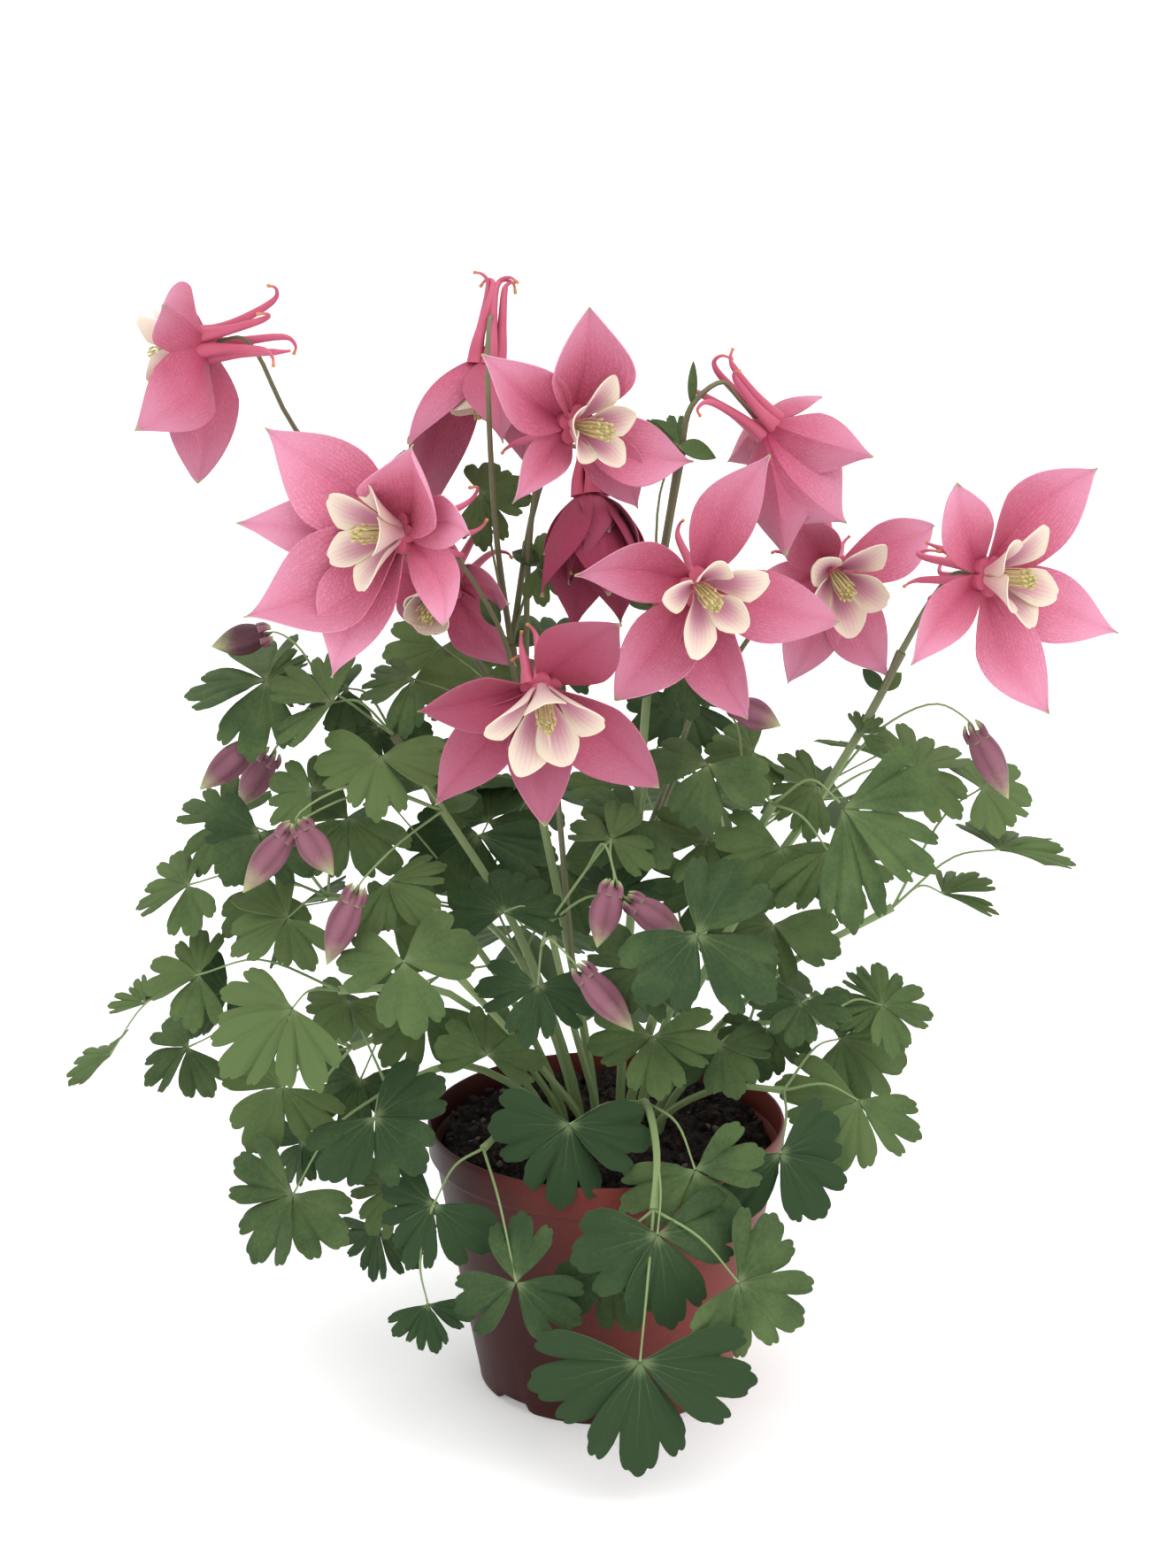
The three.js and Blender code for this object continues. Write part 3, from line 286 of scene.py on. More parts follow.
    ((-24, 12, 200), (-32, 8, 214, -36, 4, 219, 20, 180, -5, 50),
      (-45, 4, 215, -56, -6, 222, 16, 240, -10, 55, 60), (-18, 20, 216, -17, 24, 223, 18, 60, 5, 55)),
    ((-28, 15, 226), (-23, 13, 244, -20, 10, 251, 13, 90, 0, 45),
      (-34, 20, 256, -37, 22, 270, 16, 90, -5, 50)),
    ((-24, 12, 200), (-37, 31, 211, -49, 43, 217, 20, 180, -5, 30)),
    blooms={
      "bloom_1": [(-24, 12, 200), (-60, 42, 246), (-90, 18, 290)],
      "bloom_2": [(-24, 12, 200), (-31, -8, 238)],
      "bloom_3": [(-28, 15, 226), (-32, 6, 262), (-34, 3, 304), (-34, 14, 320)],
      "bloom_4": [(-24, 12, 200), (-22, 10, 264)],
      "bloom_5": [(-28, 15, 226), (-20, 14, 272), (-13, 13, 286)],
      "bloom_10": [(-10, 2, 130), (-17, -8, 214)], "bloom_11": [(-24, 12, 200), (-36, 26, 238)],
    },
  ),
}

# How far a wide open cup is spread.
OPEN = 42


def bloom(at, face, first, *sepals, **more):
    """A bloom's core, the turn and tilt of its open side, the angle of its first petal of five, and
    its sepals: angle clockwise from up, length, lift towards the open side, twist, width and bulge,
    all but the length, width and bulge in degrees. `deep` is how deep its sepals' colour is, `aim`
    the turn and tilt of a cup that looks another way, `cup` its size as a share, `inner` the number
    of small inner sepals, `spurs` their length as a share and how far they spread, and `shut` says
    that the frame has no node of stamens for it."""
    usual = {"aim": face, "cup": 1.0, "inner": 0, "spurs": (1.0, 0.16), "spread": OPEN, "shut": False}
    return {"at": at, "face": face, "first": first, "sepals": sepals, **usual, **more}


BLOOMS = {
  "bloom_1": bloom(
    (-113, 0, 319), (-105, -12), 36, (118, 36, 22, 35, 1.2), (184, 42, 19, 45, 1.1),
    (54, 30, 5, -30, 1.3), (285, 30, 40), (236, 33, 25), deep=0.25, shut=True
  ),
  "bloom_2": bloom(
    (-57, -30, 272), (-45, 10), 12, (300, 50, 25, 18, 1.05), (264, 49, 32, 5, 0.85),
    (229, 52, 30, -10, 1.1), (195, 46, 15, -25), (35, 40, 30, 35, 1.2), (124, 38, 15, -30, 0.75),
    (80, 34, 12, 0, 0.9), deep=-0.1, aim=(-54, 8)
  ),
  "bloom_3": bloom(
    (-35, 32, 308), (-20, -68), 36, (250, 48, 74, 0, 1.1, 18), (305, 35, 55), (38, 34, 55),
    (100, 33, 55), (165, 37, 50), deep=0.4, spurs=(1.05, -0.1), spread=22, shut=True
  ),
  "bloom_4": bloom(
    (-10, -10, 298), (32, 5), 10, (0, 37, 18, -18, 1.3), (308, 37, 8, -8), (112, 39, 10),
    (140, 35, -6, 25, 0.9), (240, 33, 22, 35, 0.75), deep=-0.02, aim=(38, 4), cup=0.9
  ),
  "bloom_5": bloom(
    (-5, 6, 275), (8, -62), 0, (90, 40, 69, 0, 1.3), (197, 40, 69, 0, 1.3), (284, 36, 62, 0, 1.3),
    (10, 36, 68, 0, 1.1), (150, 40, 69, 0, 1.1), deep=0.95, inner=10, spurs=(0.8, -0.05), spread=8,
    shut=True
  ),
  "bloom_6": bloom(
    (25, -30, 257), (12, -5), -10, (26, 42, 5, -20, 0.85), (283, 38, 16, 15, 0.9),
    (219, 40, 10, 15, 1.05), (160, 42, 10, 15, 0.85), (106, 42, 10), deep=0.22, aim=(18, -6), cup=0.93
  ),
  "bloom_7": bloom(
    (45, 16, 292), (110, -45), 0, (293, 36, 31, 20), (255, 39, 48, -5, 1.5), (218, 39, 38, -25, 1.3),
    (122, 25, 23, -40), (45, 33, 30), deep=0.3, spread=30, shut=True
  ),
  "bloom_8": bloom(
    (66, 24, 246), (15, -10), 28, (76, 36, -10, -15), (152, 38, 10), (200, 36, 10, 12),
    (262, 30, 10, 15), (322, 33, 15), deep=0.1
  ),
  "bloom_9": bloom(
    (107, -10, 254), (45, 8), 38, (54, 46, 20, -20), (325, 39, 18, -35, 0.85), (246, 41, 8, 28, 0.7),
    (164, 45, 12, 25, 0.9), (122, 47, 22, 15, 0.9), deep=-0.1, aim=(50, 6)
  ),
  "bloom_10": bloom(
    (-19, -45, 232), (8, -32), 0, (268, 36, 10, 35, 0.85), (222, 47, 18, 40, 0.75),
    (178, 42, 28, 0, 0.9), (130, 47, 22, -15, 0.9), (33, 36, 8, -20, 1.3), deep=0.6, aim=(9, -30),
    cup=1.12, spurs=(0.62, 0.12)
  ),
  "bloom_11": bloom(
    (-47, 14, 245), (-20, -20), 36, (75, 33, 30, -15), (130, 32, 20, -15), (212, 34, -15, 0),
    (285, 32, 10, 15), (5, 32, 15), deep=0.5, spread=16, shut=True
  ),
}

# Buds: the base and the tip of each.
BUDS = {
  "bud_1": ((-99, 2, 233), (-114, 0, 230)), "bud_2": ((-103, -5, 202), (-118, -7, 189)),
  "bud_3": ((-99, 10, 193), (-108, 10, 178)), "bud_4": ((-91, -32, 184), (-104, -34, 167)),
  "bud_5": ((-87, -36, 187), (-78, -42, 175)), "bud_6": ((-72, -40, 168), (-80, -42, 148)),
  "bud_7": ((1, -48, 173), (-3, -52, 157)), "bud_8": ((7, -46, 168), (22, -48, 158)),
  "bud_9": ((-7, -52, 149), (7, -58, 134)), "bud_10": ((107, 0, 204), (117, 0, 184)),
  "bud_11": ((37, 0, 212), (50, -3, 207)),
}

# ---- Sizes and colours that a user would change ----


def millimetres(name, description, default):
    return FloatProperty(
        name=name, description=description, default=default * MM, unit="LENGTH", subtype="DISTANCE"
    )


def colour(name, description, default):
    return FloatVectorProperty(
        name=name, description=description, default=(*default, 1), size=4, min=0, max=1, subtype="COLOR"
    )


class ColumbineSizes(bpy.types.PropertyGroup):
    leaf_thickness: millimetres("Leaf thickness", "How thick a leaflet is", 0.4)
    leaf_columns: IntProperty(
        name="Leaflet detail", description="Faces across one leaflet", default=54, min=12, max=80
    )
    sepal_thickness: millimetres("Sepal thickness", "How thick a sepal is", 0.35)
    petal_length: millimetres("Petal length", "The free length of a petal's blade", 19.5)
    petal_width: millimetres("Petal width", "A petal blade's width at its widest", 12.5)
    spur_length: millimetres("Spur length", "From the mouth of a spur to its hook", 26)
    stamen_count: IntProperty(
        name="Stamens", description="Stamens in each bloom", default=24, min=6, max=40
    )
    pot_rim: millimetres("Pot rim radius", "The pot's outer radius at its rim", 53.5)
    pot_foot: millimetres("Pot foot radius", "The pot's outer radius at its foot", 38.2)
    pot_height: millimetres("Pot height", "The pot's height", 83)


class ColumbineColours(bpy.types.PropertyGroup):
    leaf_dark: colour("Leaf", "A grown leaf's upper face", (0.030, 0.058, 0.024))
    leaf_fresh: colour("Young leaf", "A young leaf's upper face", (0.104, 0.155, 0.055))
    leaf_under: colour("Leaf underside", "The underside of a leaf", (0.085, 0.130, 0.075))
    leaf_vein: colour("Leaf veins", "Veins and hub of a leaf", (0.16, 0.21, 0.10))
    petiole: colour("Leaf stalk", "Leaf stalks", (0.20, 0.28, 0.11))
    flower_stem: colour("Flower stem", "The stems that carry the blooms", (0.12, 0.11, 0.055))
    sepal: colour("Sepal", "The middle of a sepal", (0.67, 0.185, 0.290))
    sepal_root: colour("Sepal root", "The crimson root of a sepal", (0.38, 0.025, 0.080))
    sepal_deep: colour("Deep sepal", "The shade that the darker blooms turn to", (0.25, 0.034, 0.070))
    sepal_tip: colour("Sepal tip", "The paler outer third of a sepal", (0.79, 0.36, 0.51))
    petal: colour("Petal", "The cream blade of a petal", (0.77, 0.67, 0.54))
    petal_throat: colour("Petal throat", "The purple-pink inside of a petal's base", (0.55, 0.20, 0.33))
    spur: colour("Spur", "The spurs", (0.46, 0.07, 0.13))
    spur_hook: colour("Spur hook", "The tan end of a spur", (0.55, 0.22, 0.10))
    filament: colour("Filament", "The stamens' threads", (0.72, 0.68, 0.34))
    anther: colour("Anther", "The stamens' heads", (0.42, 0.34, 0.08))
    bud: colour("Bud", "A bud's flushed sides", (0.12, 0.032, 0.048))
    bud_tip: colour("Bud tip", "A bud's green tip", (0.38, 0.42, 0.20))
    pot: colour("Pot", "The pot's plastic", (0.21, 0.044, 0.036))
    soil: colour("Soil", "Moist peat soil", (0.012, 0.009, 0.008))
    floor: colour("Floor", "The floor", (0.96, 0.96, 0.96))


def sizes():
    return bpy.context.scene.columbine_sizes


def paints():
    return bpy.context.scene.columbine_colours


# ---- Shader nodes ----

# What a piece keeps at each of its points: where on a blade it lies, its tone, and whether it is the
# underside.
MARKS = ("across", "along", "tint", "under")


class Number:
    """A number in a shader; a sum that it stands in adds the node that works it out."""

    def __init__(self, socket):
        self.socket, self.tree = socket, socket.id_data

    def math(self, operation, *sources):
        return add(self.tree, "Math", *sources, operation=operation)

    def __add__(self, other):
        return self.math("ADD", self, other)

    def __sub__(self, other):
        return self.math("SUBTRACT", self, other)

    def __rsub__(self, other):
        return self.math("SUBTRACT", other, self)

    def __mul__(self, other):
        return self.math("MULTIPLY", self, other)

    def __truediv__(self, other):
        return self.math("DIVIDE", self, other)

    def __abs__(self):
        return self.math("ABSOLUTE", self)

    def at_least(self, other):
        return self.math("MAXIMUM", self, other)

    def step(self, low, high, first=0.0, last=1.0):
        """A smooth step, from first at low to last at high."""
        sources = self, low, high, first, last
        return add(self.tree, "MapRange", *sources, interpolation_type="SMOOTHSTEP")

    def tint(self, first, second):
        """Mixes two colours, this number being the share of the second."""
        node = add(self.tree, "Mix", self, data_type="RGBA", clamp_result=True).socket.node
        wire(self.tree, node.inputs[6], first)
        wire(self.tree, node.inputs[7], second)
        return Number(node.outputs[2])


def wire(tree, socket, source):
    """Links a socket to a number or a colour of the shader, or sets its value."""
    if isinstance(source, Number):
        tree.links.new(source.socket, socket)
    elif source is not None:
        socket.default_value = source


def add(tree, kind, *sources, output=0, **values):
    """Adds a shader node; each source is linked or set, in the order of its inputs."""
    made = tree.nodes.new("ShaderNode" + kind)
    for key, value in values.items():
        setattr(made, key, value)
    for socket, source in zip(made.inputs, sources):
        wire(tree, socket, source)
    return Number(made.outputs[output])


def shade(colour, share):
    """A colour made darker or paler."""
    return tuple(min(1, share * c) for c in colour[:3]) + (1,)


def marks(tree, *names):
    """Numbers that a piece keeps at each of its points."""
    return [add(tree, "Attribute", attribute_name=name, output="Fac") for name in names]


def place(tree):
    return add(tree, "TexCoord", output="Object")


def speckle(tree, scale, detail=3.0, roughness=0.55):
    return add(tree, "TexNoise", place(tree), None, scale, detail, roughness)


def grouped(name, takes, fill):
    """A shader node group, made once; `fill` adds its nodes and returns what it gives."""
    if name not in bpy.data.node_groups:
        made = bpy.data.node_groups.new(name, "ShaderNodeTree")
        for socket, value in takes.items():
            made.interface.new_socket(socket, in_out="INPUT", socket_type="NodeSocketFloat")
            made.interface.items_tree[socket].default_value = value
        made.interface.new_socket("Mask", in_out="OUTPUT", socket_type="NodeSocketFloat")
        start, end = made.nodes.new("NodeGroupInput"), made.nodes.new("NodeGroupOutput")
        found = fill(made, *(Number(start.outputs[socket]) for socket in takes))
        wire(made, end.inputs["Mask"], found)
    return bpy.data.node_groups[name]


def veined(across, along, spacing, width, shift=0.0):
    """Fine lines that run along a blade, evenly across it: the veins of leaves, sepals and petals."""

    def fill(_, across, along, spacing, shift, width):
        away = across.math("PINGPONG", across + shift, spacing * 0.5) * along.at_least(0.04)
        return (away / width).step(0.15, 1.0, 1.0, 0.0)

    takes = {"Across": 0.0, "Along": 0.5, "Spacing": 0.2, "Shift": 0.0, "Width": 0.02}
    made = grouped("Veins along a blade", takes, fill)
    return add(across.tree, "Group", across, along, spacing, shift, width, node_tree=made)


def mottled(tree, coarse, fine):
    """Soft uneven patches of two sizes, between 0 and 1 around a half."""

    def fill(made, coarse, fine, share):
        where = place(made)
        clouds = [add(made, "TexNoise", where, None, size, 2.0) for size in (coarse, fine)]
        return add(made, "Mix", share, None, *clouds)

    made = grouped("Mottle", {"Coarse": 60.0, "Fine": 600.0, "Share of fine": 0.3}, fill)
    return add(tree, "Group", coarse, fine, node_tree=made)


# ---- Looks; each paint returns its colour, and may return its roughness and height ----


def leaf_paint(tree, p):
    across, along, tint, under = marks(tree, *MARKS)
    clouds = mottled(tree, 70.0, 900.0)
    wander = across + (clouds - 0.5) * 0.3
    ribs = veined(wander, along, 0.4, 0.011)
    forks = veined(wander, along, 0.4, 0.008, 0.2) * along.step(0.3, 0.55)
    veins = ribs.at_least(forks * 0.6) * along.step(0.1, 0.8, 0.25, 0.04)
    hub = along.step(0.02, 0.14, 0.8, 0.0)
    tone = tint + (clouds - 0.5) * 1.3
    upper = tone.step(0.0, 1.0).tint(p.leaf_dark, p.leaf_fresh)
    lower = tone.step(-0.5, 1.5).tint(p.leaf_under, p.leaf_fresh)
    face = veins.at_least(hub).tint(under.tint(upper, lower), p.leaf_vein)
    height, rough = clouds * 0.9 - ribs * 0.35, clouds.step(0.2, 0.8, 0.66, 0.5)
    return {"colour": face, "roughness": rough, "height": height, "depth": 0.0004, "strength": 0.5}


def stalk_paint(tree, p):
    along, tint = marks(tree, "along", "tint")
    clouds = mottled(tree, 90.0, 700.0)
    tone = tint * along.step(0.45, 1.0) + (clouds - 0.5) * 0.6
    face = tone.step(0.0, 1.0).tint(p.petiole, p.flower_stem)
    return {"colour": face, "height": clouds, "depth": 0.0002}


def sepal_paint(tree, p):
    across, along, tint = marks(tree, "across", "along", "tint")
    clouds = mottled(tree, 60.0, 1200.0)
    wander = across + (clouds - 0.5) * 0.8
    veins = veined(wander, 0.6, 0.1, 0.036) * along.step(0.1, 0.9, 0.5, 0.22)
    reach = along + (clouds - 0.5) * 0.5 + abs(across) * 0.25
    face = reach.step(0.4, 1.1).tint(p.sepal, p.sepal_tip)
    face = reach.step(0.02, 0.5, 0.95, 0.0).tint(face, p.sepal_root)
    face = veins.tint(tint.tint(face, p.sepal_deep), p.sepal_root)
    face = along.step(0.95, 1.0, 0.0, 0.8).tint(face, p.bud_tip)
    return {"colour": face, "height": clouds - veins * 0.5, "depth": 0.0007}


def petal_paint(tree, p):
    across, along, under = marks(tree, "across", "along", "under")
    clouds = mottled(tree, 80.0, 1200.0)
    veins = veined(across, 0.6, 0.22, 0.05)
    reach = along + (clouds - 0.5) * 0.35 + veins * -0.07 + across * across * 0.45
    inside, outside = reach.step(0.3, 1.08, 0.95, 0.0), reach.step(0.1, 0.9, 0.6, 0.04)
    face = (outside * under + inside * (1.0 - under)).tint(p.petal, p.petal_throat)
    return {"colour": face, "height": clouds, "strength": 0.4}


def spur_paint(tree, p):
    clouds = mottled(tree, 120.0, 1200.0)
    face = (clouds * 0.6).tint(p.spur, p.sepal)
    face = marks(tree, "along")[0].step(0.82, 0.97).tint(face, p.spur_hook)
    return {"colour": face, "height": clouds, "depth": 0.0002}


def stamen_paint(tree, p):
    clouds = mottled(tree, 500.0, 2500.0)
    heads = clouds.tint(p.anther, p.filament)
    face = marks(tree, "along")[0].step(0.9, 0.96).tint(p.filament, heads)
    return {"colour": face, "height": clouds, "depth": 0.0002}


def bud_paint(tree, p):
    across, along, tint = marks(tree, "across", "along", "tint")
    clouds = mottled(tree, 130.0, 1200.0)
    reach = along + (clouds - 0.5) * 0.4
    face = (clouds * 0.14 + across * 0.12).tint(p.bud, p.sepal_tip)
    face = tint.tint(face, shade(p.bud, 0.35))
    face = reach.step(0.5, 1.0).tint(face, p.bud_tip)
    face = reach.step(0.0, 0.16, 0.6, 0.0).tint(face, p.petiole)
    return {"colour": face, "height": clouds}


def pot_paint(tree, p):
    """Plastic, with painted shade over its left side and towards its foot."""
    clouds = mottled(tree, 25.0, 900.0)
    face = clouds.step(0.3, 0.7).tint(shade(p.pot, 0.75), p.pot)
    where = add(tree, "SeparateXYZ", place(tree)).socket.node.outputs
    # Painted shade: the plastic turns darker over the left side and towards the foot.
    shaded_low_left = Number(where["X"]) + Number(where["Z"]) * 0.5 + clouds * 0.02
    face = shaded_low_left.step(0.0, 0.06, 0.95, 0.0).tint(face, shade(p.pot, 0.14))
    rough, grain = clouds.step(0.3, 0.7, 0.42, 0.55), speckle(tree, 1500.0)
    return {"colour": face, "roughness": rough, "height": grain, "depth": 0.0001, "strength": 0.3}


def soil_paint(tree, p):
    """Dark peat with paler crumbs, some of them grey."""
    crumbs = speckle(tree, 420.0, 6.0, 0.7)
    face = crumbs.step(0.42, 0.72).tint(p.soil, shade(p.soil, 5))
    face = marks(tree, "tint")[0].step(0.5, 1.0).tint(face, (0.16, 0.13, 0.10, 1))
    return {"colour": face, "height": crumbs, "depth": 0.002, "strength": 0.9}


def floor_paint(tree, p):
    return {"colour": speckle(tree, 2.0).tint(shade(p.floor, 0.98), p.floor)}


WHITE = (1, 1, 1, 1)
GLOSS, SHEEN = "Specular IOR Level", "Sheen Weight"

# The paint, the roughness where the paint gives none, and what else the shader takes. The floor is
# the pale one of a light table.
LOOKS = {
    "Leaf": (leaf_paint, 0.6, {GLOSS: 0.08}),
    "Stalk": (stalk_paint, 0.55, {}),
    "Sepal": (sepal_paint, 0.6, {GLOSS: 0.2, SHEEN: 0.08}),
    "Petal": (petal_paint, 0.55, {GLOSS: 0.25, SHEEN: 0.15}),
    "Spur": (spur_paint, 0.5, {GLOSS: 0.3}),
    "Stamen": (stamen_paint, 0.6, {}),
    "Bud": (bud_paint, 0.5, {GLOSS: 0.3}),
    "Pot": (pot_paint, 0.6, {GLOSS: 0.15}),
    "Soil": (soil_paint, 0.95, {GLOSS: 0.15}),
    "Floor": (floor_paint, 0.9, {GLOSS: 0.1, "Emission Color": WHITE, "Emission Strength": 0.2}),
}


def look(name):
    """The material of one of the looks, made once."""
    if name in bpy.data.materials:
        return bpy.data.materials[name]
    paint, roughness, sockets = LOOKS[name]
    made = bpy.data.materials.new(name)
    made.use_nodes = True
    tree = made.node_tree
    shader = tree.nodes["Principled BSDF"].inputs
    for socket, value in {"Roughness": roughness, **sockets}.items():
        shader[socket].default_value = value
    found = paint(tree, paints())
    wire(tree, shader["Base Color"], found["colour"])
    wire(tree, shader["Roughness"], found.get("roughness"))
    if "height" in found:
        strength, depth = found.get("strength", 0.6), found.get("depth", 0.0003)
        bump = add(tree, "Bump", strength, depth, None, found["height"])
        wire(tree, shader["Normal"], bump)
    return made


# ---- Shapes ----

# How near two points lie, in millimetres, to be one.
SEAM = 1e-4


def begin():
    bm = bmesh.new()
    for name in MARKS:
        bm.verts.layers.float.new(name)
    return bm


def grid(bm, columns, rows, move, tint=0.0, slot=0, wrapped=False):
    """A grid whose corners `move` puts in place: u runs from -1 to 1 across, v from 0 to 1 along."""
    made = bmesh.ops.create_grid(bm, x_segments=columns, y_segments=rows, size=1)["verts"]
    across, along, tone, _ = (bm.verts.layers.float[name] for name in MARKS)
    for vert in made:
        u, v = vert.co.x, vert.co.y / 2 + 0.5
        vert[across] = abs(u) if wrapped else u
        vert[along] = v
        vert[tone] = tint
        vert.co = move(u, v)
    for face in {face for vert in made for face in vert.link_faces}:
        face.material_index = slot
    return made


def thicken(bm, thickness):
    """Merges seams and makes sheets thick; the copy that lies behind is marked as the underside."""
    bmesh.ops.remove_doubles(bm, verts=bm.verts[:], dist=SEAM)
    first = len(bm.verts)
    bmesh.ops.solidify(bm, geom=bm.faces[:], thickness=thickness)
    bm.verts.ensure_lookup_table()
    under = bm.verts.layers.float["under"]
    for vert in bm.verts[first:]:
        vert[under] = 1.0


def close(bm):
    """Merges seams and fills the open ends of tubes."""
    bmesh.ops.remove_doubles(bm, verts=bm.verts[:], dist=SEAM)
    bmesh.ops.holes_fill(bm, edges=[edge for edge in bm.edges if edge.is_boundary], sides=0)
    bmesh.ops.recalc_face_normals(bm, faces=bm.faces[:])


def absorb(bm, other):
    """Adds another bmesh to this one."""
    carrier = bpy.data.meshes.new("carrier")
    other.to_mesh(carrier)
    other.free()
    bm.from_mesh(carrier)
    bpy.data.meshes.remove(carrier)


def finished(name, bm, looks, slot, *nodes, sharp=0.9):
    """Makes a bmesh in millimetres a piece; edges that bend more than `sharp` stay hard."""
    bmesh.ops.scale(bm, vec=(MM, MM, MM), verts=bm.verts[:])
    for face in bm.faces:
        face.smooth = True
    for edge in bm.edges:
        edge.smooth = len(edge.link_faces) != 2 or edge.calc_face_angle(0) < sharp
    mesh = bpy.data.meshes.new(name)
    bm.to_mesh(mesh)
    bm.free()
    for name_of_look in looks:
        mesh.materials.append(look(name_of_look))
    piece = bpy.data.objects.new(name, mesh)
    bpy.context.scene.collection.objects.link(piece)
    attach(piece, "root")
    if nodes:
        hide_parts(*nodes)


def facing(at, turn, tilt, roll=0.0):
    """The frame of a flower or leaf: x to its right, y up it, z the way it faces."""
    turn, tilt = radians(turn), radians(tilt)
    level = cos(tilt)
    face = Vector((sin(turn) * level, -cos(turn) * level, sin(tilt)))
    up = (Vector((0, 0, 1)) - face * face.z).normalized()
    frame = Matrix((up.cross(face), up, face)).transposed().to_4x4()
    return Matrix.Translation(at) @ frame @ Matrix.Rotation(-radians(roll), 4, "Z")


def smooth_line(points, pieces):
    """Points along the smooth line through `points`, `pieces` between each two."""
    points = [Vector(p) for p in points]
    ends = [2 * points[0] - points[1], *points, 2 * points[-1] - points[-2]]
    line = []
    for a, b, c, d in zip(ends, ends[1:], ends[2:], ends[3:]):
        ab, bc, cd = (max((q - p).length, 1e-6) ** 0.5 for p, q in ((a, b), (b, c), (c, d)))
        start = ((b - a) / ab - (c - a) / (ab + bc) + (c - b) / bc) * bc
        end = ((c - b) / bc - (d - b) / (bc + cd) + (d - c) / cd) * bc
        for i in range(pieces):
            t = i / pieces
            slow, fast = 3 * (c - b) - 2 * start - end, 2 * (b - c) + start + end
            line.append(b + start * t + slow * t**2 + fast * t**3)
    line.append(points[-1])
    return line


def tube(bm, line, radius, sides, tint=0.0, slot=0):
    """A tube along a line; `radius` gives its radius at each share of its length."""
    last = len(line) - 1
    frames = []
    side = None
    for i in range(last + 1):
        heading = (line[min(i + 1, last)] - line[max(i - 1, 0)]).normalized()
        side = side or heading.orthogonal()
        side = (side - heading * side.dot(heading)).normalized()
        frames.append((side, side.cross(heading)))

    def move(u, v):
        i = round(v * last)
        turn = pi * u
        a, b = frames[i]
        r = radius(v)
        return line[i] + a * (r * cos(turn)) + b * (r * sin(turn))

    return grid(bm, sides, last, move, tint, slot, wrapped=True)


# ---- Leaves and stalks ----


# A leaflet's angles from its middle: half its fan, where its rim would close, its notches, where it
# is parted into three lobes, and where a side lobe reaches as far as it does.
HALF, CLOSED = 46.8, 47.2
NOTCHES = (-HALF, -37, -28, -17, -5, 6, 17, 28, 37, HALF)
PARTING, SIDE_LOBE = 17, 31


def lobed(theta, deep, skew):
    """A leaflet's rim at an angle from its middle: three lobes, each with rounded teeth."""
    away = min(1.0, abs(theta) / CLOSED)
    reach = (1 - away**6) ** 0.4 * (1 + skew * theta / 47) * (1 - 0.13 * away)
    off = abs(theta) / PARTING
    if off > 1:
        off = max(0.0, (SIDE_LOBE - abs(theta)) / (SIDE_LOBE - PARTING))
    reach *= 1 - 0.25 * deep * (1 + 5 * skew * copysign(1, theta)) * off**3
    for low, high in zip(NOTCHES, NOTCHES[1:]):
        if low <= theta <= high:
            return reach * (1 - 0.05 * deep * abs((2 * theta - low - high) / (high - low)) ** 2.5)
    return reach


# The angle from the middle leaflet to the outer ones, where a leaf group gives none.
SPREAD = 85
# How much fresher the green of some fronds is.
FRESH = {"frond_right_back": 0.6, "frond_left_mid": 0.25}


def leaf_group(bm, leaf, chance, columns, fresh):
    """Three leaflets round a hub, drooping to their ends, each a little different."""
    x, y, z, length, roll, turn, tilt, spread = (*leaf, SPREAD)[:8]
    frame = facing((x, y, z), turn, tilt, roll)
    # Leaves low down are darker, partly as older leaves and partly as painted shade near the foot of
    # the plant; leaves away from the middle are paler.
    tint = fresh + chance.uniform(-0.1, 0.7) + (z - 110) / 450 + (abs(x) - 30) / 400
    for angle in (spread, 0, -spread):
        size = length * chance.uniform(0.95, 1.06)
        deep, skew = chance.uniform(0.6, 1.3), chance.uniform(-0.08, 0.08)
        bank, pitch = chance.uniform(-0.3, 0.3), chance.uniform(-0.22, 0.22)
        aim = radians(angle + chance.uniform(-3, 3))
        wide = radians(HALF) * min(1.0, spread / 90) * chance.uniform(0.9, 1.06)
        wave, phase = chance.uniform(0.4, 1.5), chance.uniform(0, 6.3)
        droop, fold = 0.22 * chance.uniform(0.7, 1.4), 0.16 * chance.uniform(0.5, 1.6)
        lift = chance.uniform(-0.02, 0.02) * length

        def move(u, v):
            open_out = -u * (1.12 - 0.12 * u * u)
            theta = wide * open_out * (0.86 + 0.14 * v)
            reach = size * lobed(HALF * open_out, deep, skew) * (0.02 + 0.98 * v**0.85)
            crease = exp(-(((abs(open_out) * HALF - PARTING) / 5) ** 2)) * v
            bend = fold * sin(abs(theta)) + bank * sin(theta) + pitch - droop * reach / size
            waves = 0.04 * wave * sin(5 * theta + phase) * v * v - 0.04 * crease
            high = reach * bend + size * waves + lift * v
            return frame @ Vector((-sin(aim + theta) * reach, cos(aim + theta) * reach, high))

        grid(bm, columns, 6, move, tint + chance.uniform(-0.08, 0.08))


# The heights between which a stalk stands straight in the soil.
FOOT = (62, 83)


def stalk(bm, radius, points, olive, chance, knob=0.25, ripe=0.0):
    """A stalk that thins along its length and swells at its end; `ripe` is how dark its foot is."""
    path = []
    for point in points:
        path += [point] if len(point) == 3 else [(*point, high) for high in FOOT]
    line = smooth_line(path, 5)
    thin = 0.5 if radius < PETIOLE else 0.2
    foot = 0.5 if len(points[0]) == 2 else 0.0

    def at(v):
        swell = knob * exp(-((v - 1) / 0.05) ** 2)
        return radius * (1 - thin * v + swell + foot * max(0.0, 0.25 - v))

    along = bm.verts.layers.float["along"]
    for vert in tube(bm, line, at, 6, olive + chance.uniform(-0.12, 0.12), 1):
        vert[along] = max(vert[along], ripe)


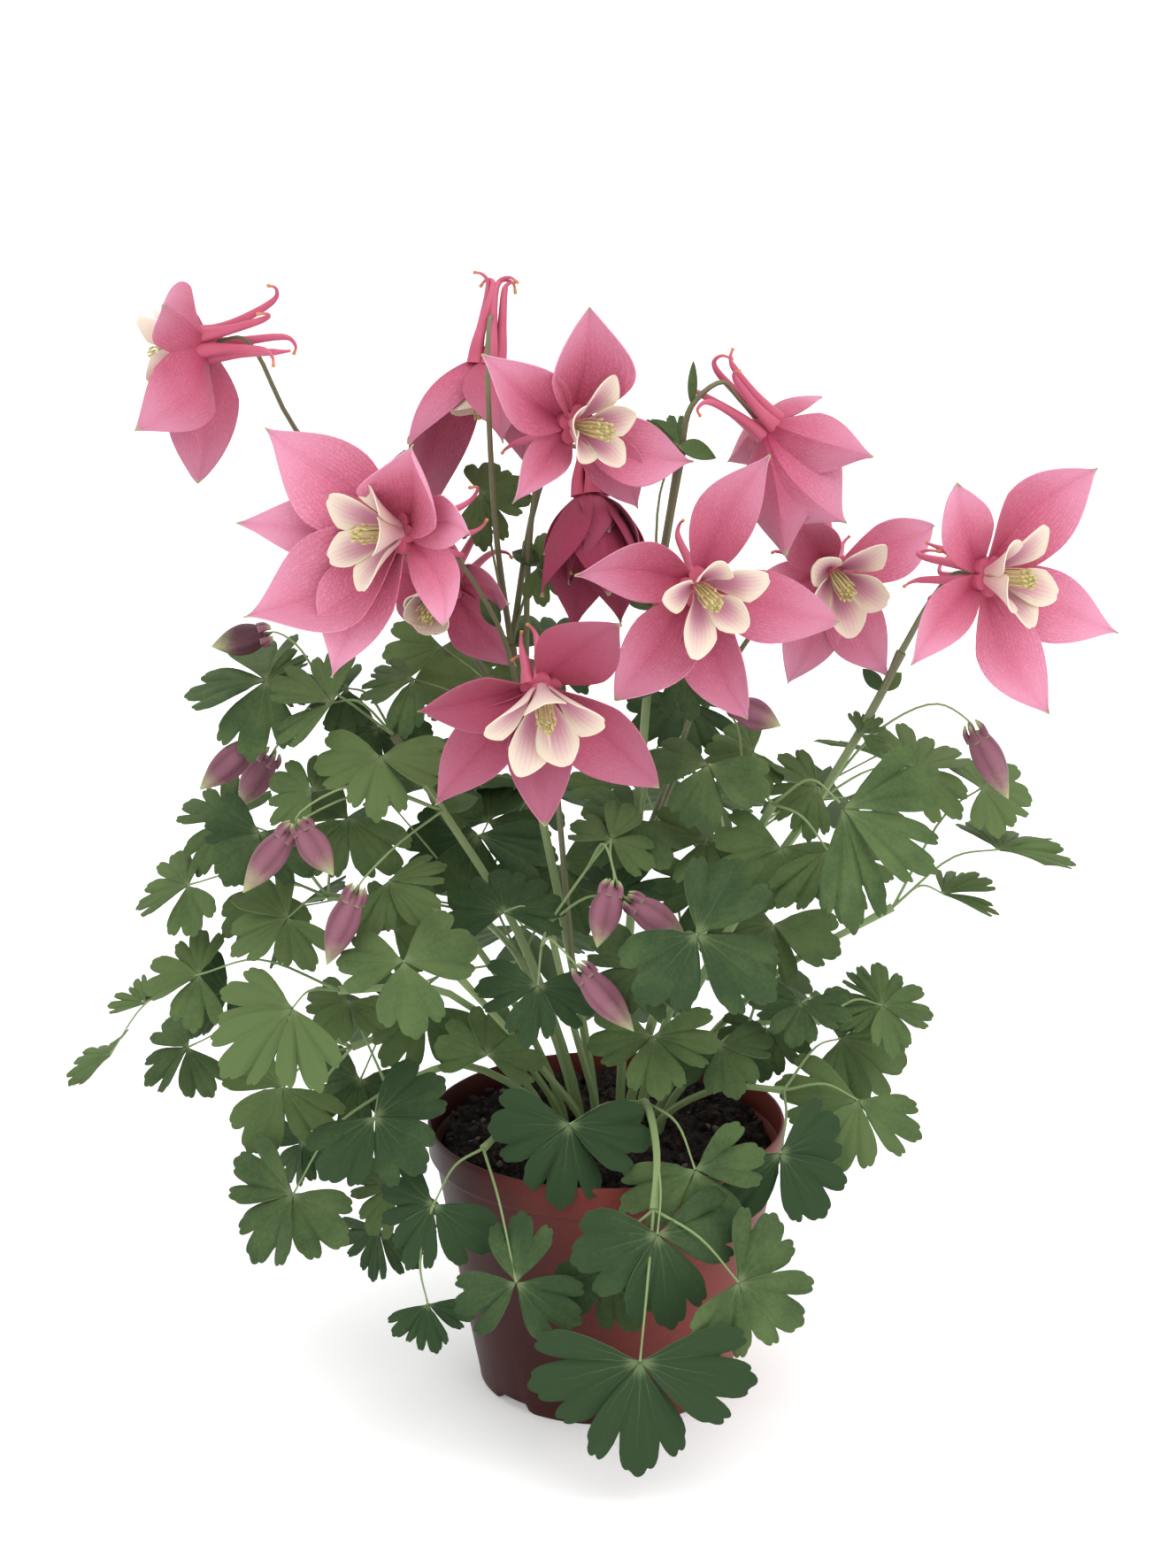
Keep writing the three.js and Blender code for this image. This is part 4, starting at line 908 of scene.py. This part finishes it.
# How far behind its flower's core a stalk comes in and ends: a bloom's, and a bud's from its base.
BEHIND_BLOOM, BEHIND_BUD = (10.8, 2.2), (3, -0.6)


def flower_stalk(at, face, points):
    frame = facing(at, *face)
    return [*points, *(tuple(frame @ Vector((0, 0, -depth))) for depth in BEHIND_BLOOM)]


def bud_stalk(ends, points):
    base, tip = (Vector(p) for p in ends)
    along = (base - tip).normalized()
    return [*points, *(tuple(base + along * depth) for depth in BEHIND_BUD)]


# Bracts where flower stems fork: x, y, z, length, the way they point clockwise from up, turn, tilt
# and, for the narrow ones, their half width as a share of their length.
BRACTS = {
    "stem_centre_right": (
        (20, 5, 288, 15, 285, 0, 30), (20, 5, 288, 13, 330, 5, 40), (20, 5, 288, 12, 100, 10, 40),
        (24, 9, 299, 13, 2, 0, 5, 0.1), (14, 4, 240, 12, 300, -10, 40), (14, 4, 240, 9, 40, 0, 40),
    ),
    "stem_right": (
        (80, 2, 216, 9, 320, 0, 30), (80, 2, 216, 9, 50, 10, 30), (62, 4, 182, 12, 20, 0, 30),
    ),
    "stems_centre": (
        (-24, 12, 200, 14, 320, 0, 30), (-28, 15, 226, 12, 60, 0, 40), (-20, 10, 251, 14, 60, 0, 50),
        (-20, 10, 251, 12, 320, 0, 50), (-20, 10, 251, 11, 130, 0, 50), (-31, -8, 238, 11, 330, 0, 20),
        (-60, 38, 257, 9, 330, 0, 30), (-63, 2, 273, 14, 12, -20, 0),
    ),
    "stem_left": (
        (-82, 4, 216, 11, 350, 0, 40), (-62, 0, 203, 12, 20, 0, 40), (-48, 0, 180, 12, 60, 0, 40),
    ),
}
# Twigs that carry a bract alone.
TWIGS = {"stems_centre": ((-28, 15, 226), (-46, 9, 252), (-62, 2.5, 274))}


def bract(bm, place, chance):
    """A small pointed leaf without lobes."""
    x, y, z, length, roll, turn, tilt, *narrow = place
    frame = facing((x, y, z), turn, tilt, roll)
    droop, wide = chance.uniform(0.1, 0.5), chance.uniform(0.2, 0.27)
    if narrow:
        droop, wide = 0.0, narrow[0]

    def move(u, v):
        half = wide * length * sin(pi * v**0.9) ** 0.9
        return frame @ Vector((u * half, length * v, 0.35 * abs(u) * half - droop * length * v * v))

    grid(bm, 8, 8, move, chance.uniform(0.2, 0.7))


def green_piece(name, parts, chance):
    leaves, stalks = begin(), begin()
    s = sizes()
    olive = 0.85 if name.startswith("stem") else 0.05
    for leaf in parts["leaves"]:
        leaf_group(leaves, leaf, chance, s.leaf_columns, FRESH.get(name, 0.0))
    for place in BRACTS.get(name, ()):
        bract(leaves, place, chance)
    thicken(leaves, s.leaf_thickness / MM)
    for radius, *points in parts["stalks"]:
        stalk(stalks, radius, points, olive, chance)
    for bloom, points in parts.get("blooms", {}).items():
        path = flower_stalk(BLOOMS[bloom]["at"], BLOOMS[bloom]["face"], points)
        stalk(stalks, 2 * BRANCH, path, 0.9, chance, 0.5, 0.88)
    if name in TWIGS:
        stalk(stalks, THREAD, TWIGS[name], 0.8, chance, 0.5, 0.8)
    for bud, points in parts.get("buds", {}).items():
        stalk(stalks, THREAD, bud_stalk(BUDS[bud], points), 0.55, chance)
    close(stalks)
    absorb(leaves, stalks)
    finished(name + "_green", leaves, ("Leaf", "Stalk"), "leaf", name)


# ---- Blooms ----


def ray(angle, z=0.0, far=1.0):
    return Vector((sin(angle) * far, cos(angle) * far, z))


def sepal(bm, shape, deep, chance):
    """An oval blade on a narrow claw, with a fine point; `deep` is how crimson it is."""
    angle, length, lift, *rest = shape
    turned, wide, bulge = (*rest, *(-8, 1.0, 0.0)[len(rest):])
    angle = radians(angle)
    rise, reach = length * sin(radians(lift)), length * cos(radians(lift))
    swell = max(0.0, (lift - 35) / 35)
    p0, p2 = ray(angle, 0, 0.03 * reach), ray(angle, rise, reach)
    p1 = ray(angle, (0.2 + 0.2 * swell) * rise, (0.55 + 0.5 * swell) * reach + bulge)
    side = Vector((cos(angle), -sin(angle), 0))
    wave, phase = chance.uniform(0.6, 2.2), chance.uniform(0, 6.3)
    curl, hollow = chance.uniform(-0.4, 0.6), chance.uniform(0.0, 0.8)
    skew, taper = chance.uniform(-0.09, 0.09), chance.uniform(0.0, 0.7)
    half = 0.245 * length * wide

    def move(u, v):
        centre = p0 * (1 - v) ** 2 + p1 * (2 * v * (1 - v)) + p2 * v * v
        heading = ((p1 - p0) * (1 - v) + (p2 - p1) * v).normalized()
        across = Matrix.Rotation(radians(turned) * min(1.0, v / 0.4), 3, heading) @ side
        out = across.cross(heading)
        oval = sin(pi * v**0.9) ** (1.05 - 0.25 * v + taper * v**3)
        width = half * (oval + 0.10 * max(0.0, 1 - 3 * v))
        cup = hollow * u * u * width - 0.09 * width * exp(-((u / 0.14) ** 2))
        ripple = 0.014 * length * wave * u * u * sin(8 * v + phase + 2 * u) * v
        back = curl * length * max(0.0, v - 0.5) ** 2
        sway = skew * length * sin(pi * v)
        return centre + across * (u * width + sway) + out * (cup + ripple - back)

    grid(bm, 14, 22, move, deep + chance.uniform(-0.05, 0.22))


def spur(bm, angle, length, lean, chance):
    """A funnel that narrows to a thin tube and curls over at its end; `lean` is how far it spreads."""
    curl, bow = radians(chance.uniform(80, 200)), chance.uniform(2.2, 4.2)
    aside, lean = chance.uniform(-2.2, 2.2), lean + chance.uniform(-0.1, 0.1)
    funnel = (0.09, 0.2), (-0.1, 0.4), (-0.35, lean * length * 0.3)
    path = [ray(angle, z * length, 3.4 + far) for z, far in funnel]
    top = ray(angle, -0.74 * length, max(0.5, 3.0 + lean * length))
    over = ray(angle + aside)
    back = (top - path[-1]).normalized()
    turns = [curl * share for share in (0, 0.33, 0.66, 1)]
    path += [top + back * (bow * sin(turn)) + over * (bow * (1 - cos(turn))) for turn in turns]

    def at(v):
        return 2.2 * (1 - v) ** 1.9 + 0.38 + 0.24 * exp(-(((v - 0.98) / 0.03) ** 2))

    tube(bm, smooth_line(path, 4), at, 9)


def blade(bm, angle, length, width, chance, open_out):
    """A petal's blade: a gutter at its base that opens to a broad round spoon."""
    flare, dent = chance.uniform(0.6, 1.3), chance.uniform(0.0, 0.06)
    angle += radians(chance.uniform(-9, 9))
    length *= chance.uniform(0.93, 1.05)
    open_out *= chance.uniform(0.75, 1.3)
    side = Vector((cos(angle), -sin(angle), 0))
    wave, phase = chance.uniform(0.5, 1.5), chance.uniform(0, 6.3)
    roll = radians(chance.uniform(-16, 16))

    def move(u, v):
        end = 1 - dent * exp(-((u / 0.25) ** 2)) * v**6
        s = v * end * (1 - 0.26 * u * u * v**1.5)
        far = 3.0 + length * (0.52 * s + 0.1 * flare * s**3) * open_out
        high = 2.2 + length * (0.84 * s - 0.06 * flare * s**3)
        half = 1.7 + (width / 2 - 1.7) * sin(pi / 2 * min(1, s / 0.72)) ** 1.9
        half *= max(0.0, 1 - max(0.0, (s - 0.72) / 0.34) ** 2.1) ** 0.5
        wrap = radians(108 - 62 * s**0.6)
        bow = half / wrap
        turn = wrap * u + roll * s
        ripple = 0.06 * wave * half * u * u * sin(6 * s + phase)
        lean = bow * (cos(roll * s) - cos(turn)) - ripple
        return ray(angle, high + 0.5 * lean * s, far - lean) + side * (bow * sin(turn))

    grid(bm, 14, 16, move)


def stamen_bunch(bm, count, chance):
    for i in range(count):
        angle = 2.4 * i
        share = sqrt((i + 0.5) / count)
        height = 18.6 - 5.2 * share * chance.uniform(0.5, 1.4)
        foot, top = ray(angle, 0.8, 1.1 * share), ray(angle + 0.2, height, 3.0 * share)
        middle = (foot + top) / 2 + ray(angle, 0, 0.7 * share)
        line = smooth_line([foot, middle, top], 2)
        tube(bm, line, lambda v: 0.24 - 0.08 * v, 4)
        head = bmesh.ops.create_icosphere(bm, subdivisions=1, radius=1)["verts"]
        along = bm.verts.layers.float["along"]
        heading = (top - middle).normalized().to_track_quat("Z", "Y").to_matrix()
        tilted = heading @ Matrix.Rotation(chance.uniform(-0.6, 0.6), 3, "X")
        for vert in head:
            vert[along] = 1.0
            vert.co = top + tilted @ Vector((vert.co.x * 0.5, vert.co.y * 0.42, vert.co.z * 1.15))


def moved(bm, frame):
    bmesh.ops.transform(bm, matrix=frame, verts=bm.verts[:])
    return bm


def turned_on(profile, pieces):
    """A smooth line through a profile of radii and heights."""
    return smooth_line([(far, 0, high) for far, high in profile], pieces)


def receptacle(bm):
    """The small green-pink knob that the stalk, sepals and spurs grow from."""
    profile = ((0.0, -3.0), (1.5, -2.9), (2.6, -1.6), (3.2, 0.6), (2.4, 2.6), (0.0, 3.1))
    line = turned_on(profile, 3)
    last = len(line) - 1

    def move(u, v):
        far, _, high = line[round(v * last)]
        return ray(pi * u, high, max(far, 0.0))

    grid(bm, 14, last, move, wrapped=True)


PETAL_THICKNESS = 0.35


def bloom_pieces(name, bloom, chance):
    s = sizes()
    frame = facing(bloom["at"], *bloom["face"])
    turned = [radians(bloom["first"] + 72 * i) for i in range(5)]
    sepals, tubes = begin(), begin()
    for shape in bloom["sepals"]:
        sepal(sepals, shape, bloom["deep"], chance)
    for i in range(bloom["inner"]):
        length, lift, twist = (chance.uniform(*ends) for ends in ((18, 33), (52, 72), (-40, 40)))
        sepal(sepals, (40 * i + 15, length, lift, twist, 0.9), 0.8, chance)
    thicken(sepals, s.sepal_thickness / MM)
    share, lean = bloom["spurs"]
    for angle in turned:
        spur(tubes, angle, share * s.spur_length / MM, lean, chance)
    receptacle(tubes)
    close(tubes)
    for face in tubes.faces:
        face.material_index = 1
    absorb(sepals, tubes)
    finished(name + "_rose", moved(sepals, frame), ("Sepal", "Spur"), "sepal", name + "_sepals")
    frame = facing(bloom["at"], *bloom["aim"])
    cup = begin()
    for angle in turned:
        length, width = (bloom["cup"] * size / MM for size in (s.petal_length, s.petal_width))
        blade(cup, angle, length, width, chance, bloom["spread"] / OPEN)
    thicken(cup, PETAL_THICKNESS)
    finished(name + "_cup", moved(cup, frame), ("Petal",), "petal", name + "_petals")
    bunch = begin()
    stamen_bunch(bunch, s.stamen_count, chance)
    close(bunch)
    nodes = () if bloom["shut"] else (name + "_stamens",)
    finished(name + "_bunch", moved(bunch, frame), ("Stamen",), "stamen", *nodes)


# How dark some buds are.
DARK_BUDS = {"bud_1": 0.8, "bud_2": 0.25}
# A bud's radii, each with its share of the bud's length.
BUD_PROFILE = (
    (0.0, 0.0), (2.4, 0.02), (3.4, 0.12), (4.5, 0.36), (3.9, 0.62), (2.1, 0.84), (0.7, 0.97),
    (0.0, 1.03),
)


def bud_piece(name, ends, chance):
    """Five folded sepals that make a drop with a point, on short spurs."""
    base, tip = (Vector(p) for p in ends)
    length = (tip - base).length
    frame = Matrix.Translation(base) @ (tip - base).to_track_quat("Z", "Y").to_matrix().to_4x4()
    line = turned_on([(far, share * length) for far, share in BUD_PROFILE], 4)
    last = len(line) - 1
    twist = chance.uniform(-0.8, 0.8)
    body = begin()

    def move(u, v):
        far, _, high = line[round(v * last)]
        turn = pi * u + twist * v
        ridge = 1 + 0.10 * sin(pi * min(1, v * 1.1)) * (abs(cos(2.5 * pi * u)) - 0.6)
        return ray(turn, high, max(far, 0.0) * ridge)

    grid(body, 40, last, move, DARK_BUDS.get(name, 0.0), wrapped=True)
    across = body.verts.layers.float["across"]
    for vert in body.verts:
        vert[across] = abs(cos(2.5 * pi * vert[across]))
    for i in range(5):
        angle = 2 * pi * (i + 0.5) / 5
        path = (0.10, 2.6), (-0.02, 2.9), (-0.14, 1.9)
        hook = [ray(angle, share * length, far) for share, far in path]
        tube(body, smooth_line(hook, 3), lambda v: 1.05 * (1 - v) ** 0.7 + 0.25, 6)
    close(body)
    finished(name + "_drop", moved(body, frame), ("Bud",), "bud", name)


# ---- Pot and soil ----


# The pot's rim band is this high and stands this far out, and its foot has this many notches.
BAND, STEP_IN, NOTCHES_IN_FOOT = 11, 2.2, 6


def pot_piece():
    s = sizes()
    rim, foot, height = s.pot_rim / MM, s.pot_foot / MM, s.pot_height / MM
    wall, band, lower = 1.3, height - BAND, rim - STEP_IN
    profile = [
        (0.0, 1.0), (foot - 4, 1.0), (foot - 2.4, 0.2), (foot - 0.6, 0.0), (foot, 0.7),
        (foot + 0.3, 3.0), (foot + (lower - foot) * 0.30, band * 0.3),
        (foot + (lower - foot) * 0.65, band * 0.65), (lower - 0.3, band - 1.2),
        (lower + 0.1, band + 0.2), (rim - 0.9, band + 0.9), (rim - 0.3, band + 1.9),
        (rim - 0.1, height - 2.5), (rim, height - 1.0), (rim - 0.35, height - 0.1),
        (rim - wall + 0.35, height - 0.1), (rim - wall, height - 1.0), (rim - wall - 0.3, band + 3.0),
        (lower - wall, band + 1.0), (lower - wall, band - 1.0), (foot - wall + 0.6, 3.0),
        (foot - 4, 2.0), (0.0, 2.0),
    ]
    last = len(profile) - 1
    body = begin()

    def move(u, v):
        far, high = profile[round(v * last)]
        notch = cos(NOTCHES_IN_FOOT * pi * u + 1.3)
        if high < 0.9 and far > foot - 3.5:
            high += 3.0 * max(0.0, min(1.0, (notch - 0.45) / 0.25))
        return ray(pi * u, high, far)

    grid(body, 144, last, move, wrapped=True)
    close(body)
    finished("nursery_pot", body, ("Pot",), "pot", "pot", sharp=0.6)


# The soil's radius, the height of its middle, and how far it falls to its edge.
SOIL_EDGE, SOIL_TOP, SOIL_FALL = 49.3, 79.6, 4
# How many loose crumbs lie on it.
CRUMBS = 420


def heap(x, y, far):
    """The soil's height at a place that is `far` from the middle."""
    lump = sin(x * 0.31 + 1) * cos(y * 0.27) + sin(x * y * 0.03)
    return SOIL_TOP + 1.6 * lump - SOIL_FALL * (far / SOIL_EDGE) ** 2 + 0.05 * y


def soil_piece(chance):
    """A lumpy heap with loose crumbs, closed below."""
    body = begin()
    tone = body.verts.layers.float["tint"]

    def move(u, v):
        w = 2 * v - 1
        square = max(abs(u), abs(w))
        far = SOIL_EDGE * square
        round_off = hypot(u, w) or 1.0
        x, y = u * far / round_off, w * far / round_off
        crumb = noise.fractal(Vector((x, y, 3.0)) * 0.22, 0.8, 2.1, 5)
        return Vector((x, y, heap(x, y, far) + 1.7 * crumb - (7 if square > 0.99 else 0)))

    grid(body, 90, 90, move)
    close(body)
    for _ in range(CRUMBS):
        turn, far = chance.uniform(0, 6.28), SOIL_EDGE * 0.96 * sqrt(chance.random())
        x, y = far * cos(turn), far * sin(turn)
        size = chance.uniform(0.4, 1.5) * (1.5 if y > 20 and chance.random() < 0.25 else 1.0)
        top = Vector((x, y, heap(x, y, far) + 0.5))
        crumb = bmesh.ops.create_icosphere(body, subdivisions=1, radius=size)["verts"]
        pale = 1.0 if chance.random() < 0.12 else 0.0
        for vert in crumb:
            vert.co = top + vert.co * chance.uniform(0.65, 1.2)
            vert[tone] = pale
    bmesh.ops.recalc_face_normals(body, faces=body.faces[:])
    finished("potting_soil", body, ("Soil",), "soil", "soil", sharp=2.5)


# ---- Stage ----


# Lamps: place, the height in the middle of the plant that they aim at, size and power.
LAMPS = {
    "key light": ((0.8, -1.2, 1.8), 0.18, 1.6, 14),
    "fill light": ((-1.3, -1.0, 1.2), 0.2, 1.4, 3),
    "top light": ((0.1, 0.5, 1.9), 0.15, 1.4, 9),
}
# How bright the white sky is.
SKY = 1.05
CAMERA_AT, CAMERA_PITCH, CAMERA_LENS, CAMERA_SENSOR = (-0.0089, -1.2, 0.585), 71.7, 99.45, 36


def area_light(name, at, aim, size, power):
    lamp = bpy.data.lights.new(name, "AREA")
    lamp.shape, lamp.size, lamp.energy = "DISK", size, power
    stand = bpy.data.objects.new(name, lamp)
    stand.location = at
    stand.rotation_euler = (Vector(at) - Vector((0, 0, aim))).to_track_quat("Z", "Y").to_euler()
    bpy.context.scene.collection.objects.link(stand)


def stage():
    bm = bmesh.new()
    bmesh.ops.create_circle(bm, cap_ends=True, radius=6, segments=96)
    mesh = bpy.data.meshes.new("floor")
    bm.to_mesh(mesh)
    bm.free()
    mesh.materials.append(look("Floor"))
    floor = bpy.data.objects.new("floor", mesh)
    bpy.context.scene.collection.objects.link(floor)
    floor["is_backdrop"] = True
    world = bpy.data.worlds.new("studio")
    world.use_nodes = True
    sky = world.node_tree.nodes["Background"].inputs
    sky["Color"].default_value, sky["Strength"].default_value = WHITE, SKY
    bpy.context.scene.world = world
    for name, lamp in LAMPS.items():
        area_light(name, *lamp)
    bpy.context.scene.view_settings.view_transform = "Standard"
    camera = bpy.data.objects.new("camera", bpy.data.cameras.new("camera"))
    camera.location = CAMERA_AT
    camera.rotation_euler = (radians(CAMERA_PITCH), 0, 0)
    camera.data.lens, camera.data.sensor_width = CAMERA_LENS, CAMERA_SENSOR
    camera.data.dof.use_dof = False
    bpy.context.scene.collection.objects.link(camera)
    bpy.context.scene.camera = camera


# ---- Operators, one for each group of pieces ----


class COLUMBINE_OT_stage(bpy.types.Operator):
    """Lay the floor and set the lights and the camera"""

    bl_idname = "columbine.stage"
    bl_label = "Stage"

    def execute(self, context):
        stage()
        return {"FINISHED"}


class COLUMBINE_OT_pot(bpy.types.Operator):
    """Make the plastic nursery pot"""

    bl_idname = "columbine.pot"
    bl_label = "Pot"

    def execute(self, context):
        pot_piece()
        return {"FINISHED"}


class COLUMBINE_OT_soil(bpy.types.Operator):
    """Fill the pot with crumbly soil"""

    bl_idname = "columbine.soil"
    bl_label = "Soil"

    def execute(self, context):
        soil_piece(random.Random(4))
        return {"FINISHED"}


class COLUMBINE_OT_greens(bpy.types.Operator):
    """Grow the fronds and the leafy stems"""

    bl_idname = "columbine.greens"
    bl_label = "Fronds and stems"

    def execute(self, context):
        for number, (name, parts) in enumerate(GREENS.items()):
            green_piece(name, parts, random.Random(100 + number))
        return {"FINISHED"}


class COLUMBINE_OT_blooms(bpy.types.Operator):
    """Grow the blooms: sepals and spurs, petal cups and stamens"""

    bl_idname = "columbine.blooms"
    bl_label = "Blooms"

    def execute(self, context):
        for number, (name, bloom) in enumerate(BLOOMS.items()):
            bloom_pieces(name, bloom, random.Random(300 + number))
        return {"FINISHED"}


class COLUMBINE_OT_buds(bpy.types.Operator):
    """Hang the buds"""

    bl_idname = "columbine.buds"
    bl_label = "Buds"

    def execute(self, context):
        for number, (name, ends) in enumerate(BUDS.items()):
            bud_piece(name, ends, random.Random(500 + number))
        return {"FINISHED"}


# The operators in the order in which they are called.
STEPS = (
    COLUMBINE_OT_stage, COLUMBINE_OT_pot, COLUMBINE_OT_soil, COLUMBINE_OT_greens, COLUMBINE_OT_blooms,
    COLUMBINE_OT_buds,
)


class COLUMBINE_PT_panel(bpy.types.Panel):
    """Sizes, colours and the plant's groups of pieces"""

    bl_idname = "COLUMBINE_PT_panel"
    bl_label = "Columbine"
    bl_space_type = "VIEW_3D"
    bl_region_type = "UI"
    bl_category = "Columbine"

    def draw(self, context):
        for held in (context.scene.columbine_sizes, context.scene.columbine_colours):
            column = self.layout.column()
            for name in held.__annotations__:
                column.prop(held, name)
        for made in STEPS:
            self.layout.operator(made.bl_idname)


CLASSES = (ColumbineSizes, ColumbineColours, *STEPS, COLUMBINE_PT_panel)


def register():
    for made in CLASSES:
        bpy.utils.register_class(made)
    bpy.types.Scene.columbine_sizes = PointerProperty(type=ColumbineSizes)
    bpy.types.Scene.columbine_colours = PointerProperty(type=ColumbineColours)


def unregister():
    del bpy.types.Scene.columbine_colours
    del bpy.types.Scene.columbine_sizes
    for made in reversed(CLASSES):
        bpy.utils.unregister_class(made)


def main():
    register()
    for made in STEPS:
        area, verb = made.bl_idname.split(".")
        getattr(getattr(bpy.ops, area), verb)()
    plain = lambda box: [list(corner) for corner in box]
    {"cad": plain(CAD_BOX), "visual": plain(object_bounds())}


if __name__ == "__main__":
    main()
